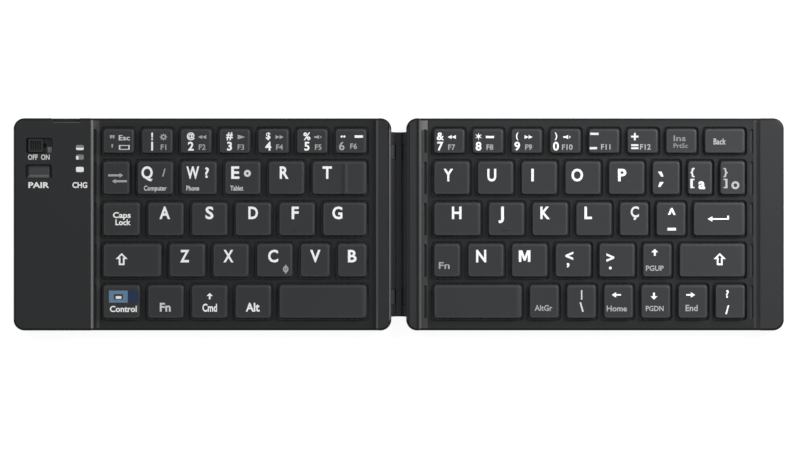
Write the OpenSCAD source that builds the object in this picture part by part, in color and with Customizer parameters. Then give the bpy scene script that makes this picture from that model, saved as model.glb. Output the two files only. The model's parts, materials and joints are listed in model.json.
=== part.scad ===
// Folding pocket keyboard: two halves that close like a book on a narrow spine.
// It stands open and flat. +X runs from the left end to the right end, +Y to the back edge, +Z up.
// The origin is on the table under the middle of the spine. All sizes are in millimetres.

/* [Keys] */
// Width that a letter key takes in its row, with the gap beside it
key_unit = 17.7; // [17.3:0.1:18.3]
// Depth that a letter row takes, with the gap behind it
row_unit = 16.7; // [16.3:0.1:17.5]
// Gap between the top faces of two neighbouring keys
key_gap = 3.6; // [3.4:0.1:4]
// Depth of a key in the number row
number_key_depth = 9.5; // [9.4:0.1:11]
// Corner radius of a keycap
key_corner_r = 1.4; // [1.1:0.1:1.8]
// Height of a keycap from its rim to its top
key_h = 2.2; // [2.1:0.1:2.5]
// How far each side of a keycap leans out from its top to its rim
key_lean = 0.4; // [0.3:0.05:0.45]
// Thickness of a keycap's walls and of its top
key_wall = 0.8; // [0.7:0.05:0.9]
// How far a key goes down
key_travel = 1.3; // [1.1:0.1:1.4]
// Play between a keycap's rim and its window
window_play = 0.7; // [0.5:0.05:0.75]

/* [Margins] */
// From the back edge to the number row
back_margin = 4.6; // [4.5:0.1:6]
// From the front edge to the space row
front_margin = 5.1; // [4.6:0.1:6.5]
// From the left half's hinge edge to its nearest keys
left_hinge_margin = 10.4; // [10.3:0.1:12]
// From the right half's hinge edge to its nearest keys
right_hinge_margin = 11.3; // [11.2:0.1:13]
// From the right half's last keys to the right end
right_end_margin = 16.1; // [16:0.1:19]

/* [Casing] */
// Corner radius of the halves, seen from above
corner_r = 4.4; // [3.4:0.1:5]
// Thickness of the side walls
wall = 1.2; // [1:0.1:1.3]
// Thickness of the floor
floor_t = 1; // [0.9:0.05:1.1]
// Thickness of the skin over the end bars
skin_t = 1; // [0.9:0.05:1.1]
// Thickness of the deck that the keys come through
deck_t = 1.6; // [1.4:0.1:1.7]
// How far the end bars stand above the keys
bar_rise = 0.2; // [0.15:0.05:0.4]
// Width of the right end bar
right_bar_w = 9.8; // [9.4:0.1:10.2]
// Width of the slope from a bar down to the deck
step_slope = 0.8; // [0.5:0.1:1]
// Height of the rubber feet below the floor
foot_h = 0.8; // [0.6:0.1:1.2]

/* [Hinge] */
// Radius of the hinge barrels
barrel_r = 2; // [1.8:0.05:2.05]
// Diameter of the steel hinge pins
pin_d = 1.6; // [1.2:0.1:1.8]
// Running clearance between a pin and its turning knuckle, on the radius
pin_play = 0.05; // [0.03:0.01:0.08]
// Length of a half's turning knuckle
knuckle_w = 6; // [5:0.5:7]
// Gap around what swings at the hinge
swing_gap = 0.3; // [0.25:0.05:0.35]
// Gap between the two halves' bars when they are closed
closed_gap = 0.4; // [0.3:0.1:0.8]
// How much shorter than the halves the spine is, at each end
spine_inset = 5.6; // [5.2:0.1:7]

/* [Switch mechanism] */
// Thickness of the steel plate under the keys
plate_t = 0.4; // [0.3:0.05:0.5]
// Thickness of the contact membrane
membrane_t = 0.3; // [0.2:0.05:0.3]
// Height of a rubber dome
dome_h = 2.3; // [2.2:0.05:2.5]
// Thickness of the scissor links
link_t = 0.6; // [0.5:0.05:0.7]

/* [Controls and power] */
// Length of the sliding power switch
switch_l = 6.1; // [5.5:0.1:6.4]
// How far the power switch slides
switch_travel = 3; // [2:0.1:3.2]
// Length of the pairing button
button_l = 10.1; // [9:0.1:10.4]
// Depth of the pairing button
button_w = 5.2; // [4.5:0.1:5.5]
// How far the pairing button goes in
button_travel = 0.5; // [0.3:0.05:0.5]
// Width of the charging port
port_w = 7.5; // [7:0.1:8]
// Length of the battery
battery_l = 33; // [24:1:34]
// Thickness of the battery
battery_t = 3.4; // [2.6:0.1:3.6]
// Thickness of the circuit board
board_t = 0.8; // [0.6:0.1:1]

/* [Hidden] */
$fn = 64;
eps = 0.01;
cut = 1;

// Heights of the layers, from the table up
rib_h = 0.2;
rim_lap = 0.3;
side_rise = 1.6;
z_floor = foot_h + floor_t;
z_plate = z_floor + rib_h;
z_membrane = z_plate + plate_t;
z_dome = z_membrane + membrane_t;
z_rim = z_dome + dome_h;
z_key = z_rim + key_h;
z_deck = z_key - key_travel - rim_lap;
z_under_deck = z_deck - deck_t;
z_bar = z_key + bar_rise;
z_skin = z_bar - skin_t;
z_split = z_floor + side_rise;
z_under_key = z_key - key_wall;

// Hinge: each half turns about its own axis at the height hinge_z, hinge_x from the middle
lip_over = 0.5;
hinge_wall_t = 1;
hinge_bar_w = 5.4;
lip_chamfer = [1, 0.6];
hinge_z = z_skin - swing_gap - barrel_r;
hinge_x = z_bar - hinge_z + closed_gap / 2;
lip_x = hinge_x - lip_over;
hinge_wall_x = hinge_x + barrel_r + swing_gap;
cavity_x = hinge_wall_x + hinge_wall_t;
hinge_bar_x = lip_x + hinge_bar_w;

// Rows of keys, from left to right: [node that the key belongs to, width in key units].
// The key with the width fill takes what its row has left.
fill = 0;
left_units = 6.2;
right_units = 7.3;
number_units = 0.885;
left_rows = [
    [for (i = [1 : 7]) ["left_number_keys", i < 7 ? number_units : fill]],
    [["left_control_keys", 0.78], ["key_q", 1], ["key_w", 1], ["key_e", 1], ["key_r", 1], ["key_t", fill]],
    [["left_control_keys", 1.02], ["key_a", 1], ["key_s", 1], ["key_d", 1], ["key_f", 1], ["key_g", fill]],
    [["left_control_keys", 1.51], ["key_z", 1], ["key_x", 1], ["key_c", 1], ["key_v", 0.85], ["key_b", fill]],
    [["left_control_keys", 1.02], for (i = [1 : 3]) ["left_control_keys", 1], ["left_space_key", fill]]
];
right_rows = [
    [for (i = [1 : 8]) ["right_number_keys", i < 8 ? number_units : fill]],
    [["key_y", 1], ["key_u", 1], ["key_i", 1], ["key_o", 1], ["key_p", 1],
     ["right_control_keys", 0.81], ["right_control_keys", 0.74], ["right_control_keys", fill]],
    [["key_h", 1.25], ["key_j", 1], ["key_k", 1], ["key_l", 1],
     ["right_control_keys", 0.84], ["right_control_keys", 0.85], ["right_control_keys", fill]],
    [["right_control_keys", 0.78], ["key_n", 1], ["key_m", 1], ["right_control_keys", 1],
     ["right_control_keys", 1], ["right_control_keys", 0.84], ["right_control_keys", fill]],
    [["right_space_key", 2.19], for (i = [1 : 6]) ["right_control_keys", i < 6 ? 0.85 : fill]]
];
last_row = len(left_rows) - 1;
homing_keys = ["key_f", "key_j"];

// Plan of the halves. The left bar stands left_bar_gap beyond the left half's keys.
left_bar_gap = 5;
half_l = right_hinge_margin + right_units * key_unit - key_gap + right_end_margin;
end_x = lip_x + half_l;
half_w = (back_margin + number_key_depth + last_row * row_unit + front_margin) / 2;
left_start = -lip_x - left_hinge_margin - left_units * key_unit + key_gap;
right_start = lip_x + right_hinge_margin;
left_bar_x = -left_start + left_bar_gap;
right_bar_x = end_x - right_bar_w;

// Deck: its key windows, the posts under it, and the narrow slots beside the rows
window_corner_grow = 0.2;
deck_post_d = 1.2;
posts_in_row = 5;
first_post_gap = 8;
last_post_gap = 4;
first_post = hinge_bar_x + first_post_gap;
row_slot = [1.1, 0.6];
row_slot_r = 0.4;
left_slot_gap = 1.4;
right_slot_gaps = [3.6, 3.2];
bar_groove = [0.6, 0.3];
bar_groove_gap = 1.3;

// Keycaps: their inside, the stem on the dome, the clips on the links, the bar on a homing key
key_inner_r = 0.6;
key_stem_d = 2.4;
key_clip = [0.7, 0.8];
key_clip_y = 2.4;
homing_bar = [3.2, 0.5, 0.12];
homing_bar_in = 2.4;

// Rubber domes
dome_base_r = 2.3;
dome_top_r = 1.3;
dome_rim_h = 0.25;
dome_wall = 0.5;

// Scissor links. A key wider than wide_key has two pairs.
link_l = 7.4;
link_outer_w = 7;
link_bar_w = 0.5;
link_step = 0.05;
link_rod_r = link_t / 2 + 0.05;
link_rod_x = link_l / 2 - link_rod_r;
link_low = z_dome + link_step + link_rod_r;
link_high = z_rim + link_step - link_rod_r;
wide_key = 24;

// Support plate and membrane: how far each stops short of the walls, and the ribs under the plate
rib_w = 1;
plate_inset = 0.3;
membrane_inset = 0.6;
plate_end_gap = 1;

// Flexible cable between the halves, the tunnel that it lies in, and the membrane's tails
flex_w = 12;
flex_play = 0.6;
flex_side_play = 0.2;
flex_end_gap = 0.1;
tail_w = 8;
tail_in = 1.6;
tail_lap = [2, 4];

// Spine. Its cover lies on the flexible cable.
spine_tip = 5;
knuckle_gap = 0.4;
side_play = 0.15;
pin_in = 8;
cover_t = 0.6;
spine_y = half_w - spine_inset;
spine_top = z_dome + cover_t;
spine_plate_top = hinge_z - barrel_r - knuckle_gap;
valley_x = hinge_x - barrel_r - swing_gap;
knuckle_y = spine_y - spine_tip - knuckle_w / 2;

// Bay for the electronics in the left bar
bay_gap = 0.8;
end_room = 4.4;
bay_in = left_bar_x + hinge_wall_t + bay_gap;
bay_out = end_x - wall - end_room;

// Circuit board, and the parts that stand on it as [length, depth, height]
board_lift = 1.2;
board_l = 32;
board_back_gap = 3.4;
board_post_d = 2.4;
board_post_in = [2.6, 1.6];
board_post_ys = [1.8, 5];
board_z = z_floor + board_lift;
board_top = board_z + board_t;
board_back = half_w - board_back_gap;
board_front = board_back - board_l;
tail_from_front = 9;
tail_y = board_front + tail_from_front;
control_chip = [7, 7, 0.9];
control_chip_in = [3, 2];
radio_module = [9, 12, 1.4];
radio_module_in = [4, 1];
connector = [4, 10];
lamp = [1.6, 0.8, 0.6];
tact_body = [4.5, 4.5, 0.5];
tact_h = 0.8;
tact_d = 2;

// Screws and bosses
screw_d = 1.4;
screw_head_d = 2.6;
screw_head_h = 0.7;
screw_head_sunk = 0.1;
screw_cross = [0.5, 1.8, 0.35];
screw_tip_gap = 0.5;
deck_screw_tip = 0.4;
boss_d = 3.8;
boss_play = 0.2;
boss_gap = 0.1;
middle_boss_gap = 2.9;
screw_head_top = z_floor + screw_head_sunk;
bar_screw_top = z_skin - screw_tip_gap;
deck_screw_top = z_deck - deck_screw_tip;
deck_screw_x = hinge_bar_x + boss_d / 2 + boss_play;
edge_boss_gap = boss_d / 2 + boss_gap;
edge_boss_y = half_w - wall - edge_boss_gap;
middle_boss_y = board_front - middle_boss_gap;
bay_boss_in = 1;
end_boss_x = end_x - wall - edge_boss_gap;
bay_boss_x = bay_in + bay_boss_in;

// Battery, and the magnets over it that hold the halves shut
battery_side_gap = 2.2;
battery_r = 1.2;
battery_tab = [12, 1.6, 1];
battery_tab_z = 0.8;
magnet_gap = 0.2;
magnet_d = 5;
magnet_boss_gap = 0.6;
magnet_in = 5.2;
right_boss_gap = 16;
battery_back = 2 * middle_boss_y - board_front;
magnet_t = z_skin - z_floor - battery_t - magnet_gap;
magnet_x = end_x - magnet_in;
magnet_ys = [middle_boss_y, -edge_boss_y + (magnet_d + boss_d) / 2 + magnet_boss_gap];
right_boss_y = middle_boss_y - right_boss_gap;

// The controls' places are measured in from the left end and from the back edge.
// Power switch: its pocket in the bar, its stem, and its housing on the board
switch_in = [9, 11.1];
switch_x = -end_x + switch_in[0];
switch_y = half_w - switch_in[1];
switch_w = 5.6;
switch_play = [1.4, 0.4];
switch_pocket = [switch_l + switch_travel + switch_play[0], switch_w + switch_play[1], 1.2];
switch_pocket_r = 0.8;
switch_pocket_wall = 0.8;
switch_r = 0.6;
switch_lift = 0.05;
switch_stem = [1.6, 1.2];
switch_slot_play = [0.6, 0.4];
switch_stem_lift = 0.6;
switch_grooves = 5;
switch_groove = [0.4, 3.6, 0.3];
switch_groove_step = 0.9;
housing_wall = [0.8, 1];
housing_h = 1.4;
housing_floor = 0.4;

// Pairing button
button_in = [10.25, 21.6];
button_x = -end_x + button_in[0];
button_y = half_w - button_in[1];
button_r = 0.7;
button_play = 0.15;
button_flange = [0.6, 0.6];
button_stem_d = 2;
button_stem_gap = 0.05;
flange_gap = 0.1;
control_drop = 0.1;

// Light guides over the lamps
light_in = 26.9;
light_back_gaps = [11.9, 15.8, 20.8];
light_x = -end_x + light_in;
light_ys = [for (gap = light_back_gaps) half_w - gap];
light_size = [3.2, 2.2];
light_r = 0.6;
light_flange = [0.4, 0.5];
light_gap = 0.15;

// Charging port, and the notch in the back edge that it stands behind
port_in = 21.2;
port_x = -end_x + port_in;
port_l = 5.2;
port_h = 2.5;
port_shell = 0.3;
port_taper = 0.6;
port_mouth_deep = 4;
port_tongue = [3.8, 3.4, 0.6];
port_tongue_z = 0.9;
port_notch = [11.4, 1.4, 0.4];
port_wall = 1.6;
port_play = 0.2;

// Feet
foot_size = [14, 5];
foot_r = 1.5;
foot_recess = 0.4;
foot_in = [14, 12, 8];
foot_xs = [hinge_bar_x + foot_in[0], end_x - foot_in[1]];
foot_y = half_w - foot_in[2];

charcoal = [0.17, 0.17, 0.18];
soft_black = [0.11, 0.11, 0.12];
steel = [0.72, 0.73, 0.75];

letters = ["q", "w", "e", "r", "t", "a", "s", "d", "f", "g", "z", "x", "c", "v", "b",
           "y", "u", "i", "o", "p", "h", "j", "k", "l", "n", "m"];
KEY_NODES = concat([for (c = letters) str("key_", c)],
    ["left_number_keys", "left_control_keys", "left_space_key",
     "right_number_keys", "right_control_keys", "right_space_key"]);

// ---- Key layout ----

// Key units that the keys left of key i take in its row
function taken(row, i) = i == 0 ? 0 : row[i - 1][1] + taken(row, i - 1);
function units(row, i, total) = row[i][1] == fill ? total - taken(row, i) : row[i][1];
function row_depth(r) = r == 0 ? number_key_depth : row_unit - key_gap;
function row_back(r) = half_w - back_margin - (r == 0 ? 0 : number_key_depth + key_gap + (r - 1) * row_unit);
function row_gap_y(r) = row_back(r) + key_gap / 2;

// Every key of a half as [node, centre x, centre y, width, depth] of its top face
function key_list(rows, start, total) = [
    for (r = [0 : last_row]) for (i = [0 : len(rows[r]) - 1])
        let (w = units(rows[r], i, total) * key_unit - key_gap)
        [rows[r][i][0], start + taken(rows[r], i) * key_unit + w / 2, row_back(r) - row_depth(r) / 2,
         w, row_depth(r)]
];
left_keys = key_list(left_rows, left_start, left_units);
right_keys = key_list(right_rows, right_start, right_units);

// Draws its children at each key, which they read the size of as $w and $d
module at_keys(keys) {
    for (k = keys) translate([k[1], k[2], 0]) let ($w = k[3], $d = k[4]) children();
}

// Where a key of width w carries its scissor links
function link_places(w) = w > wide_key ? [-w / 4, w / 4] : [0];

// How far from the middle a half's support plate ends
function plate_far(side) = (side < 0 ? left_bar_x : right_bar_x) - plate_end_gap;

// ---- Shared shapes ----

// A box from near to far on one side of the middle: side is -1 for the left half and 1 for the right
module span(side, near, far, y0, y1, z0, z1) {
    translate([side > 0 ? near : -far, y0, z0]) cube([far - near, y1 - y0, z1 - z0]);
}

// A plate of size [l, w, h] on z = 0, centred in plan, with rounded corners
module rounded_plate(size, r) {
    linear_extrude(size[2]) {
        square([size[0] - 2 * r, size[1]], center = true);
        square([size[0], size[1] - 2 * r], center = true);
        for (x = [-1, 1], y = [-1, 1])
            translate([x * (size[0] / 2 - r), y * (size[1] / 2 - r)]) circle(r);
    }
}

// A rounded plate that fills a span, with the same depth in front of and behind the middle
module rounded_span(side, near, far, depth, z0, z1, r) {
    translate([side * (near + far) / 2, 0, z0]) rounded_plate([far - near, 2 * depth, z1 - z0], r);
}

module rod(x, y, z0, z1, d) {
    translate([x, y, z0]) cylinder(d = d, h = z1 - z0);
}

// A prism along Y, of an outline in X and Z
module prism_y(points, y0, y1) {
    translate([0, y1, 0]) rotate([90, 0, 0]) linear_extrude(y1 - y0) polygon(points);
}

// A half's outline between two heights
module half_body(side, z0, z1) {
    rounded_span(side, lip_x, end_x, half_w, z0, z1, corner_r);
}

// The space inside a half's walls between two heights, grow wider on every side
module half_cavity(side, far, z0, z1, grow = 0) {
    rounded_span(side, cavity_x - grow, far + grow, half_w - wall + grow, z0, z1, corner_r - wall);
}

// Places of a half's screws as [distance from the middle, y, height of the tip]
function screws(side) = concat(
    [for (r = [1, last_row]) [deck_screw_x, row_gap_y(r), deck_screw_top]],
    side < 0
        ? [[end_boss_x, edge_boss_y, bar_screw_top], [end_boss_x, -edge_boss_y, bar_screw_top],
           [bay_boss_x, -edge_boss_y, bar_screw_top], [bay_boss_x, middle_boss_y, bar_screw_top]]
        : [[magnet_x, edge_boss_y, bar_screw_top], [magnet_x, -edge_boss_y, bar_screw_top],
           [magnet_x, right_boss_y, bar_screw_top]]);

// Height that the boss of a screw in the top frame reaches up to
function boss_top(s) = s[2] == deck_screw_top ? z_under_deck : z_skin;

// ---- Casing ----

module bottom_case(side) {
    difference() {
        union() {
            difference() {
                half_body(side, foot_h, z_split);
                half_cavity(side, end_x - wall, z_floor, z_split + cut);
                // Room for the spine
                span(side, 0, hinge_wall_x, -spine_y - swing_gap, spine_y + swing_gap, 0, z_split + cut);
            }
            for (s = screws(side)) rod(side * s[0], s[1], z_floor - eps, z_split, boss_d);
            // Ribs that the support plate lies on
            for (r = [1 : last_row])
                span(side, cavity_x - eps, plate_far(side),
                     row_gap_y(r) - rib_w / 2, row_gap_y(r) + rib_w / 2, z_floor - eps, z_plate);
        }
        for (s = screws(side)) {
            rod(side * s[0], s[1], 0, z_split + cut, screw_d + boss_play);
            rod(side * s[0], s[1], 0, screw_head_top, screw_head_d + boss_play);
        }
        feet_shapes(side, 0, foot_h + foot_recess);
        // Way out for the flexible cable
        span(side, hinge_wall_x - cut, cavity_x + cut, -flex_w / 2 - flex_play, flex_w / 2 + flex_play,
             z_membrane - flex_side_play, z_dome + flex_play);
    }
}

module deck_well(side, far) {
    bottom = [side * (hinge_bar_x + step_slope), side * (far - step_slope)];
    rise = z_bar + cut - z_deck;
    lean = step_slope * rise / (z_bar - z_deck);
    prism_y([[bottom[0], z_deck], [bottom[1], z_deck],
             [bottom[1] + side * lean, z_deck + rise], [bottom[0] - side * lean, z_deck + rise]],
            -half_w - cut, half_w + cut);
}

// A turning knuckle at y, joined to the hinge wall and to the skin
module half_knuckle(side, y) {
    translate([side * hinge_x, y + knuckle_w / 2, hinge_z]) rotate([90, 0, 0])
        cylinder(r = barrel_r, h = knuckle_w);
    span(side, hinge_x, hinge_wall_x + eps, y - knuckle_w / 2, y + knuckle_w / 2,
         hinge_z - barrel_r, z_skin + eps);
}

// Narrow blind slots in the deck, one beside each row of keys
module row_slots(side, x) {
    for (r = [0 : last_row])
        translate([side * x, row_back(r) - row_depth(r) / 2, z_deck - row_slot[1]])
            rounded_plate([row_slot[0], row_depth(r), row_slot[1] + cut], row_slot_r);
}

module top_frame(side, keys, bar_x, slot_xs) {
    difference() {
        union() {
            difference() {
                half_body(side, z_split, z_bar);
                deck_well(side, bar_x);
                half_cavity(side, end_x - wall, z_split - cut, z_under_deck);
                rounded_span(side, bar_x + hinge_wall_t, end_x - wall, half_w - wall, z_split - cut, z_skin,
                             corner_r - wall);
                // Room for the spine's barrels
                span(side, 0, hinge_wall_x, -spine_y - swing_gap, spine_y + swing_gap, z_split - cut, z_skin);
            }
            for (y = [-knuckle_y, knuckle_y]) half_knuckle(side, y);
            for (s = screws(side)) rod(side * s[0], s[1], z_split, boss_top(s) + eps, boss_d);
            deck_posts(side, bar_x);
        }
        // Chamfer along the lip over the hinge
        prism_y([[side * (lip_x - cut), z_bar + cut], [side * (lip_x + lip_chamfer[0]), z_bar + cut],
                 [side * (lip_x + lip_chamfer[0]), z_bar], [side * lip_x, z_bar - lip_chamfer[1]],
                 [side * (lip_x - cut), z_bar - lip_chamfer[1]]], -half_w - cut, half_w + cut);
        at_keys(keys) translate([0, 0, z_split]) key_window();
        for (x = slot_xs) row_slots(side, x);
        for (s = screws(side)) rod(side * s[0], s[1], z_split - cut, s[2], screw_d);
        for (y = [-knuckle_y, knuckle_y])
            translate([side * hinge_x, y + knuckle_w / 2 + cut, hinge_z]) rotate([90, 0, 0])
                cylinder(d = pin_d + 2 * pin_play, h = knuckle_w + 2 * cut);
    }
}

module key_window() {
    grow = 2 * (key_lean + window_play);
    rounded_plate([$w + grow, $d + grow, z_bar - z_split], key_corner_r + window_corner_grow);
}

// Posts between the rows, which press the membrane and the plate down
module deck_posts(side, bar_x) {
    step = (bar_x - last_post_gap - first_post) / (posts_in_row - 1);
    for (r = [1 : last_row], i = [0 : posts_in_row - 1])
        rod(side * (first_post + i * step), row_gap_y(r), z_dome, z_under_deck + eps, deck_post_d);
}

module inner_sheet(side, inset, z0, z1) {
    difference() {
        half_cavity(side, plate_far(side), z0, z1, -inset);
        for (s = screws(side)) if (s[2] == deck_screw_top)
            rod(side * s[0], s[1], z0 - cut, z1 + cut, boss_d + 2 * boss_play);
    }
}

module left_bottom_case() {
    color(charcoal) difference() {
        union() {
            bottom_case(-1);
            // Posts under the circuit board
            for (x = [bay_in + board_post_in[0], bay_out - board_post_in[1]],
                 y = [board_front + board_post_ys[0], board_back - board_post_ys[1]])
                rod(-x, y, z_floor - eps, board_z, board_post_d);
        }
        translate([port_x - port_notch[0] / 2, half_w - port_notch[1], z_split - port_notch[2]])
            cube([port_notch[0], 2 * port_notch[1], z_bar]);
    }
}

module right_bottom_case() { color(charcoal) bottom_case(1); }

module left_top_frame() {
    pocket_wall = switch_pocket_wall;
    port_hole = [port_w + 2 * port_play, port_h + 2 * port_play];
    color(charcoal) difference() {
        union() {
            top_frame(-1, left_keys, left_bar_x, [left_bar_x - left_slot_gap]);
            // Floor of the switch pocket, and the wall around the charging port
            translate([switch_x + switch_travel / 2 - switch_pocket[0] / 2 - pocket_wall,
                       switch_y - switch_pocket[1] / 2 - pocket_wall, z_bar - switch_pocket[2] - pocket_wall])
                cube([switch_pocket[0] + 2 * pocket_wall, switch_pocket[1] + 2 * pocket_wall,
                      switch_pocket[2] + pocket_wall - skin_t + eps]);
            translate([port_x - port_notch[0] / 2 - wall, half_w - port_notch[1] - port_wall, z_split])
                cube([port_notch[0] + 2 * wall, port_wall + port_notch[1] - wall + eps,
                      z_skin - z_split + eps]);
        }
        translate([port_x - port_notch[0] / 2, half_w - port_notch[1], z_split - cut])
            cube([port_notch[0], 2 * port_notch[1], z_bar]);
        translate([port_x - port_hole[0] / 2, half_w - 2 * port_wall - port_notch[1], board_top - port_play])
            cube([port_hole[0], 2 * port_wall + cut, port_hole[1]]);
        translate([switch_x + switch_travel / 2, switch_y, z_bar - switch_pocket[2]])
            rounded_plate([switch_pocket[0], switch_pocket[1], switch_pocket[2] + cut], switch_pocket_r);
        // Slot that the switch's stem runs in
        translate([switch_x + switch_travel / 2, switch_y, z_split])
            rounded_plate([switch_stem[0] + switch_travel + switch_slot_play[0],
                           switch_stem[1] + switch_slot_play[1], z_bar - z_split], switch_slot_play[1]);
        translate([button_x, button_y, z_split])
            rounded_plate([button_l + 2 * button_play, button_w + 2 * button_play, z_bar],
                          button_r + button_play);
        for (y = light_ys) translate([light_x, y, z_split])
            rounded_plate([light_size[0], light_size[1], z_bar], light_r);
    }
}

module right_top_frame() {
    color(charcoal) difference() {
        top_frame(1, right_keys, right_bar_x,
                  [right_start - right_slot_gaps[0], right_bar_x - right_slot_gaps[1]]);
        // Fine groove along the hinge bar
        translate([hinge_bar_x - bar_groove_gap, -half_w - cut, z_bar - bar_groove[1]])
            cube([bar_groove[0], 2 * (half_w + cut), bar_groove[1] + cut]);
    }
}

module support_plate(side) { color(steel) inner_sheet(side, plate_inset, z_plate, z_membrane); }

module left_support_plate() { support_plate(-1); }

module right_support_plate() { support_plate(1); }

// Three printed films laid together, with a tail through the hinge wall
module membrane(side) {
    inner_sheet(side, membrane_inset, z_membrane, z_dome);
    span(side, hinge_wall_x + flex_end_gap, cavity_x + tail_in, -flex_w / 2, flex_w / 2, z_membrane, z_dome);
}

module left_membrane() {
    color("palegreen") {
        membrane(-1);
        // Tail to the connector under the circuit board
        span(-1, plate_far(-1) - tail_lap[0], bay_in + tail_lap[1], tail_y - tail_w / 2, tail_y + tail_w / 2,
             z_membrane, z_dome);
    }
}

module right_membrane() { color("palegreen") membrane(1); }

module feet_shapes(side, z0, z1) {
    for (x = foot_xs, y = [-foot_y, foot_y])
        translate([side * x, y, z0]) rounded_plate([foot_size[0], foot_size[1], z1 - z0], foot_r);
}

module left_feet() { color(soft_black) feet_shapes(-1, 0, foot_h + foot_recess); }

module right_feet() { color(soft_black) feet_shapes(1, 0, foot_h + foot_recess); }

module screw_set(side) {
    for (s = screws(side)) difference() {
        union() {
            rod(side * s[0], s[1], screw_head_top - screw_head_h, screw_head_top, screw_head_d);
            rod(side * s[0], s[1], screw_head_top - eps, s[2], screw_d);
        }
        // Cross in the head
        for (turn = [0, 90])
            translate([side * s[0], s[1], screw_head_top - screw_head_h + screw_cross[2] / 2 - eps])
                rotate([0, 0, turn]) cube(screw_cross, center = true);
    }
}

module left_screws() { color(steel) screw_set(-1); }

module right_screws() { color(steel) screw_set(1); }

module magnet_set(side) {
    for (y = magnet_ys) rod(side * magnet_x, y, z_skin - magnet_t, z_skin, magnet_d);
}

module left_magnets() { color("silver") magnet_set(-1); }

module right_magnets() { color("silver") magnet_set(1); }

// ---- Spine and hinge ----

module spine_base() {
    color(soft_black) difference() {
        union() {
            translate([-hinge_wall_x, -spine_y, foot_h])
                cube([2 * hinge_wall_x, 2 * spine_y, spine_plate_top - foot_h]);
            translate([-hinge_x - barrel_r, -spine_y, foot_h])
                cube([2 * (hinge_x + barrel_r), 2 * spine_y, spine_top - foot_h]);
            for (side = [-1, 1]) {
                translate([side * hinge_x, spine_y, hinge_z]) rotate([90, 0, 0])
                    cylinder(r = barrel_r, h = 2 * spine_y);
                span(side, hinge_x, hinge_x + barrel_r, -spine_y, spine_y, spine_top - eps, hinge_z);
            }
        }
        // Seat of the cover, and the tunnel of the flexible cable
        translate([-valley_x, -spine_y - cut, spine_top - cover_t])
            cube([2 * valley_x, 2 * (spine_y + cut), z_bar]);
        translate([-hinge_wall_x, -flex_w / 2 - flex_side_play, z_membrane])
            cube([2 * hinge_wall_x, flex_w + 2 * flex_side_play, flex_play]);
        for (side = [-1, 1], y = [-knuckle_y, knuckle_y])
            span(side, valley_x, hinge_wall_x + cut,
                 y - knuckle_w / 2 - side_play, y + knuckle_w / 2 + side_play, spine_plate_top, z_bar);
        pin_shapes(cut);
    }
}

// The pins, each from the spine's end through a turning knuckle, longer by extra at the open end
module pin_shapes(extra = 0) {
    inner = knuckle_y - knuckle_w / 2 - pin_in;
    for (side = [-1, 1], end = [-1, 1])
        translate([side * hinge_x, end > 0 ? spine_y + extra : -inner, hinge_z]) rotate([90, 0, 0])
            cylinder(d = pin_d, h = spine_y + extra - inner);
}

module spine_cover() {
    color(soft_black) translate([-valley_x, -spine_y, spine_top - cover_t])
        cube([2 * valley_x, 2 * spine_y, cover_t]);
}

module hinge_pins() { color(steel) pin_shapes(); }

module flex_cable() {
    color("darkorange") translate([-hinge_wall_x + swing_gap, -flex_w / 2, z_membrane])
        cube([2 * (hinge_wall_x - swing_gap), flex_w, membrane_t]);
}

// ---- Key mechanism ----

module dome() {
    under_top = dome_h - dome_wall;
    translate([0, 0, z_dome]) rotate_extrude()
        polygon([[dome_base_r - 2 * dome_wall, 0], [dome_base_r, 0], [dome_base_r, dome_rim_h],
                 [dome_base_r - dome_wall, dome_rim_h], [dome_top_r, under_top], [dome_top_r, dome_h],
                 [0, dome_h], [0, under_top], [dome_top_r - dome_wall, under_top]]);
}

module left_domes() { color("white") at_keys(left_keys) dome(); }

module right_domes() { color("white") at_keys(right_keys) dome(); }

// One link frame, low at -X and high at +X
module link_frame(w) {
    rise = link_high - link_low;
    angle = atan(rise / (2 * link_rod_x));
    for (end = [-1, 1])
        translate([end * link_rod_x, w / 2, end < 0 ? link_low : link_high]) rotate([90, 0, 0])
            cylinder(r = link_rod_r, h = w);
    for (side = [-1, 1])
        translate([0, side * (w - link_bar_w) / 2, (link_low + link_high) / 2]) rotate([0, -angle, 0])
            cube([2 * link_rod_x / cos(angle), link_bar_w, link_t], center = true);
}

module scissor() {
    for (x = link_places($w)) translate([x, 0, 0]) {
        link_frame(link_outer_w);
        mirror([1, 0, 0]) link_frame(link_outer_w - 2 * (link_bar_w + link_step));
    }
}

module left_scissors() { color("white") at_keys(left_keys) scissor(); }

module right_scissors() { color("white") at_keys(right_keys) scissor(); }

// Solid block with a keycap's leaning sides, from its rim up to its top
module keycap_block(w, d) {
    intersection() {
        translate([0, 0, z_rim]) rounded_plate([w + 2 * key_lean, d + 2 * key_lean, key_h], key_corner_r);
        prism_y([[-w / 2 - key_lean, z_rim], [w / 2 + key_lean, z_rim], [w / 2, z_key], [-w / 2, z_key]],
                -d, d);
        rotate([0, 0, 90])
            prism_y([[-d / 2 - key_lean, z_rim], [d / 2 + key_lean, z_rim], [d / 2, z_key], [-d / 2, z_key]],
                    -w, w);
    }
}

module keycap(homing) {
    difference() {
        keycap_block($w, $d);
        translate([0, 0, z_rim - cut])
            rounded_plate([$w - 2 * key_wall, $d - 2 * key_wall, z_under_key - z_rim + cut], key_inner_r);
    }
    rod(0, 0, z_rim, z_under_key + eps, key_stem_d);
    for (x = link_places($w), sx = [-1, 1], sy = [-1, 1])
        translate([x + sx * link_rod_x - key_clip[0] / 2, sy * key_clip_y - key_clip[1] / 2,
                   z_rim + link_step])
            cube([key_clip[0], key_clip[1], z_under_key - z_rim - link_step + eps]);
    if (homing) translate([-homing_bar[0] / 2, -$d / 2 + homing_bar_in, z_key - eps]) cube(homing_bar);
}

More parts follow.
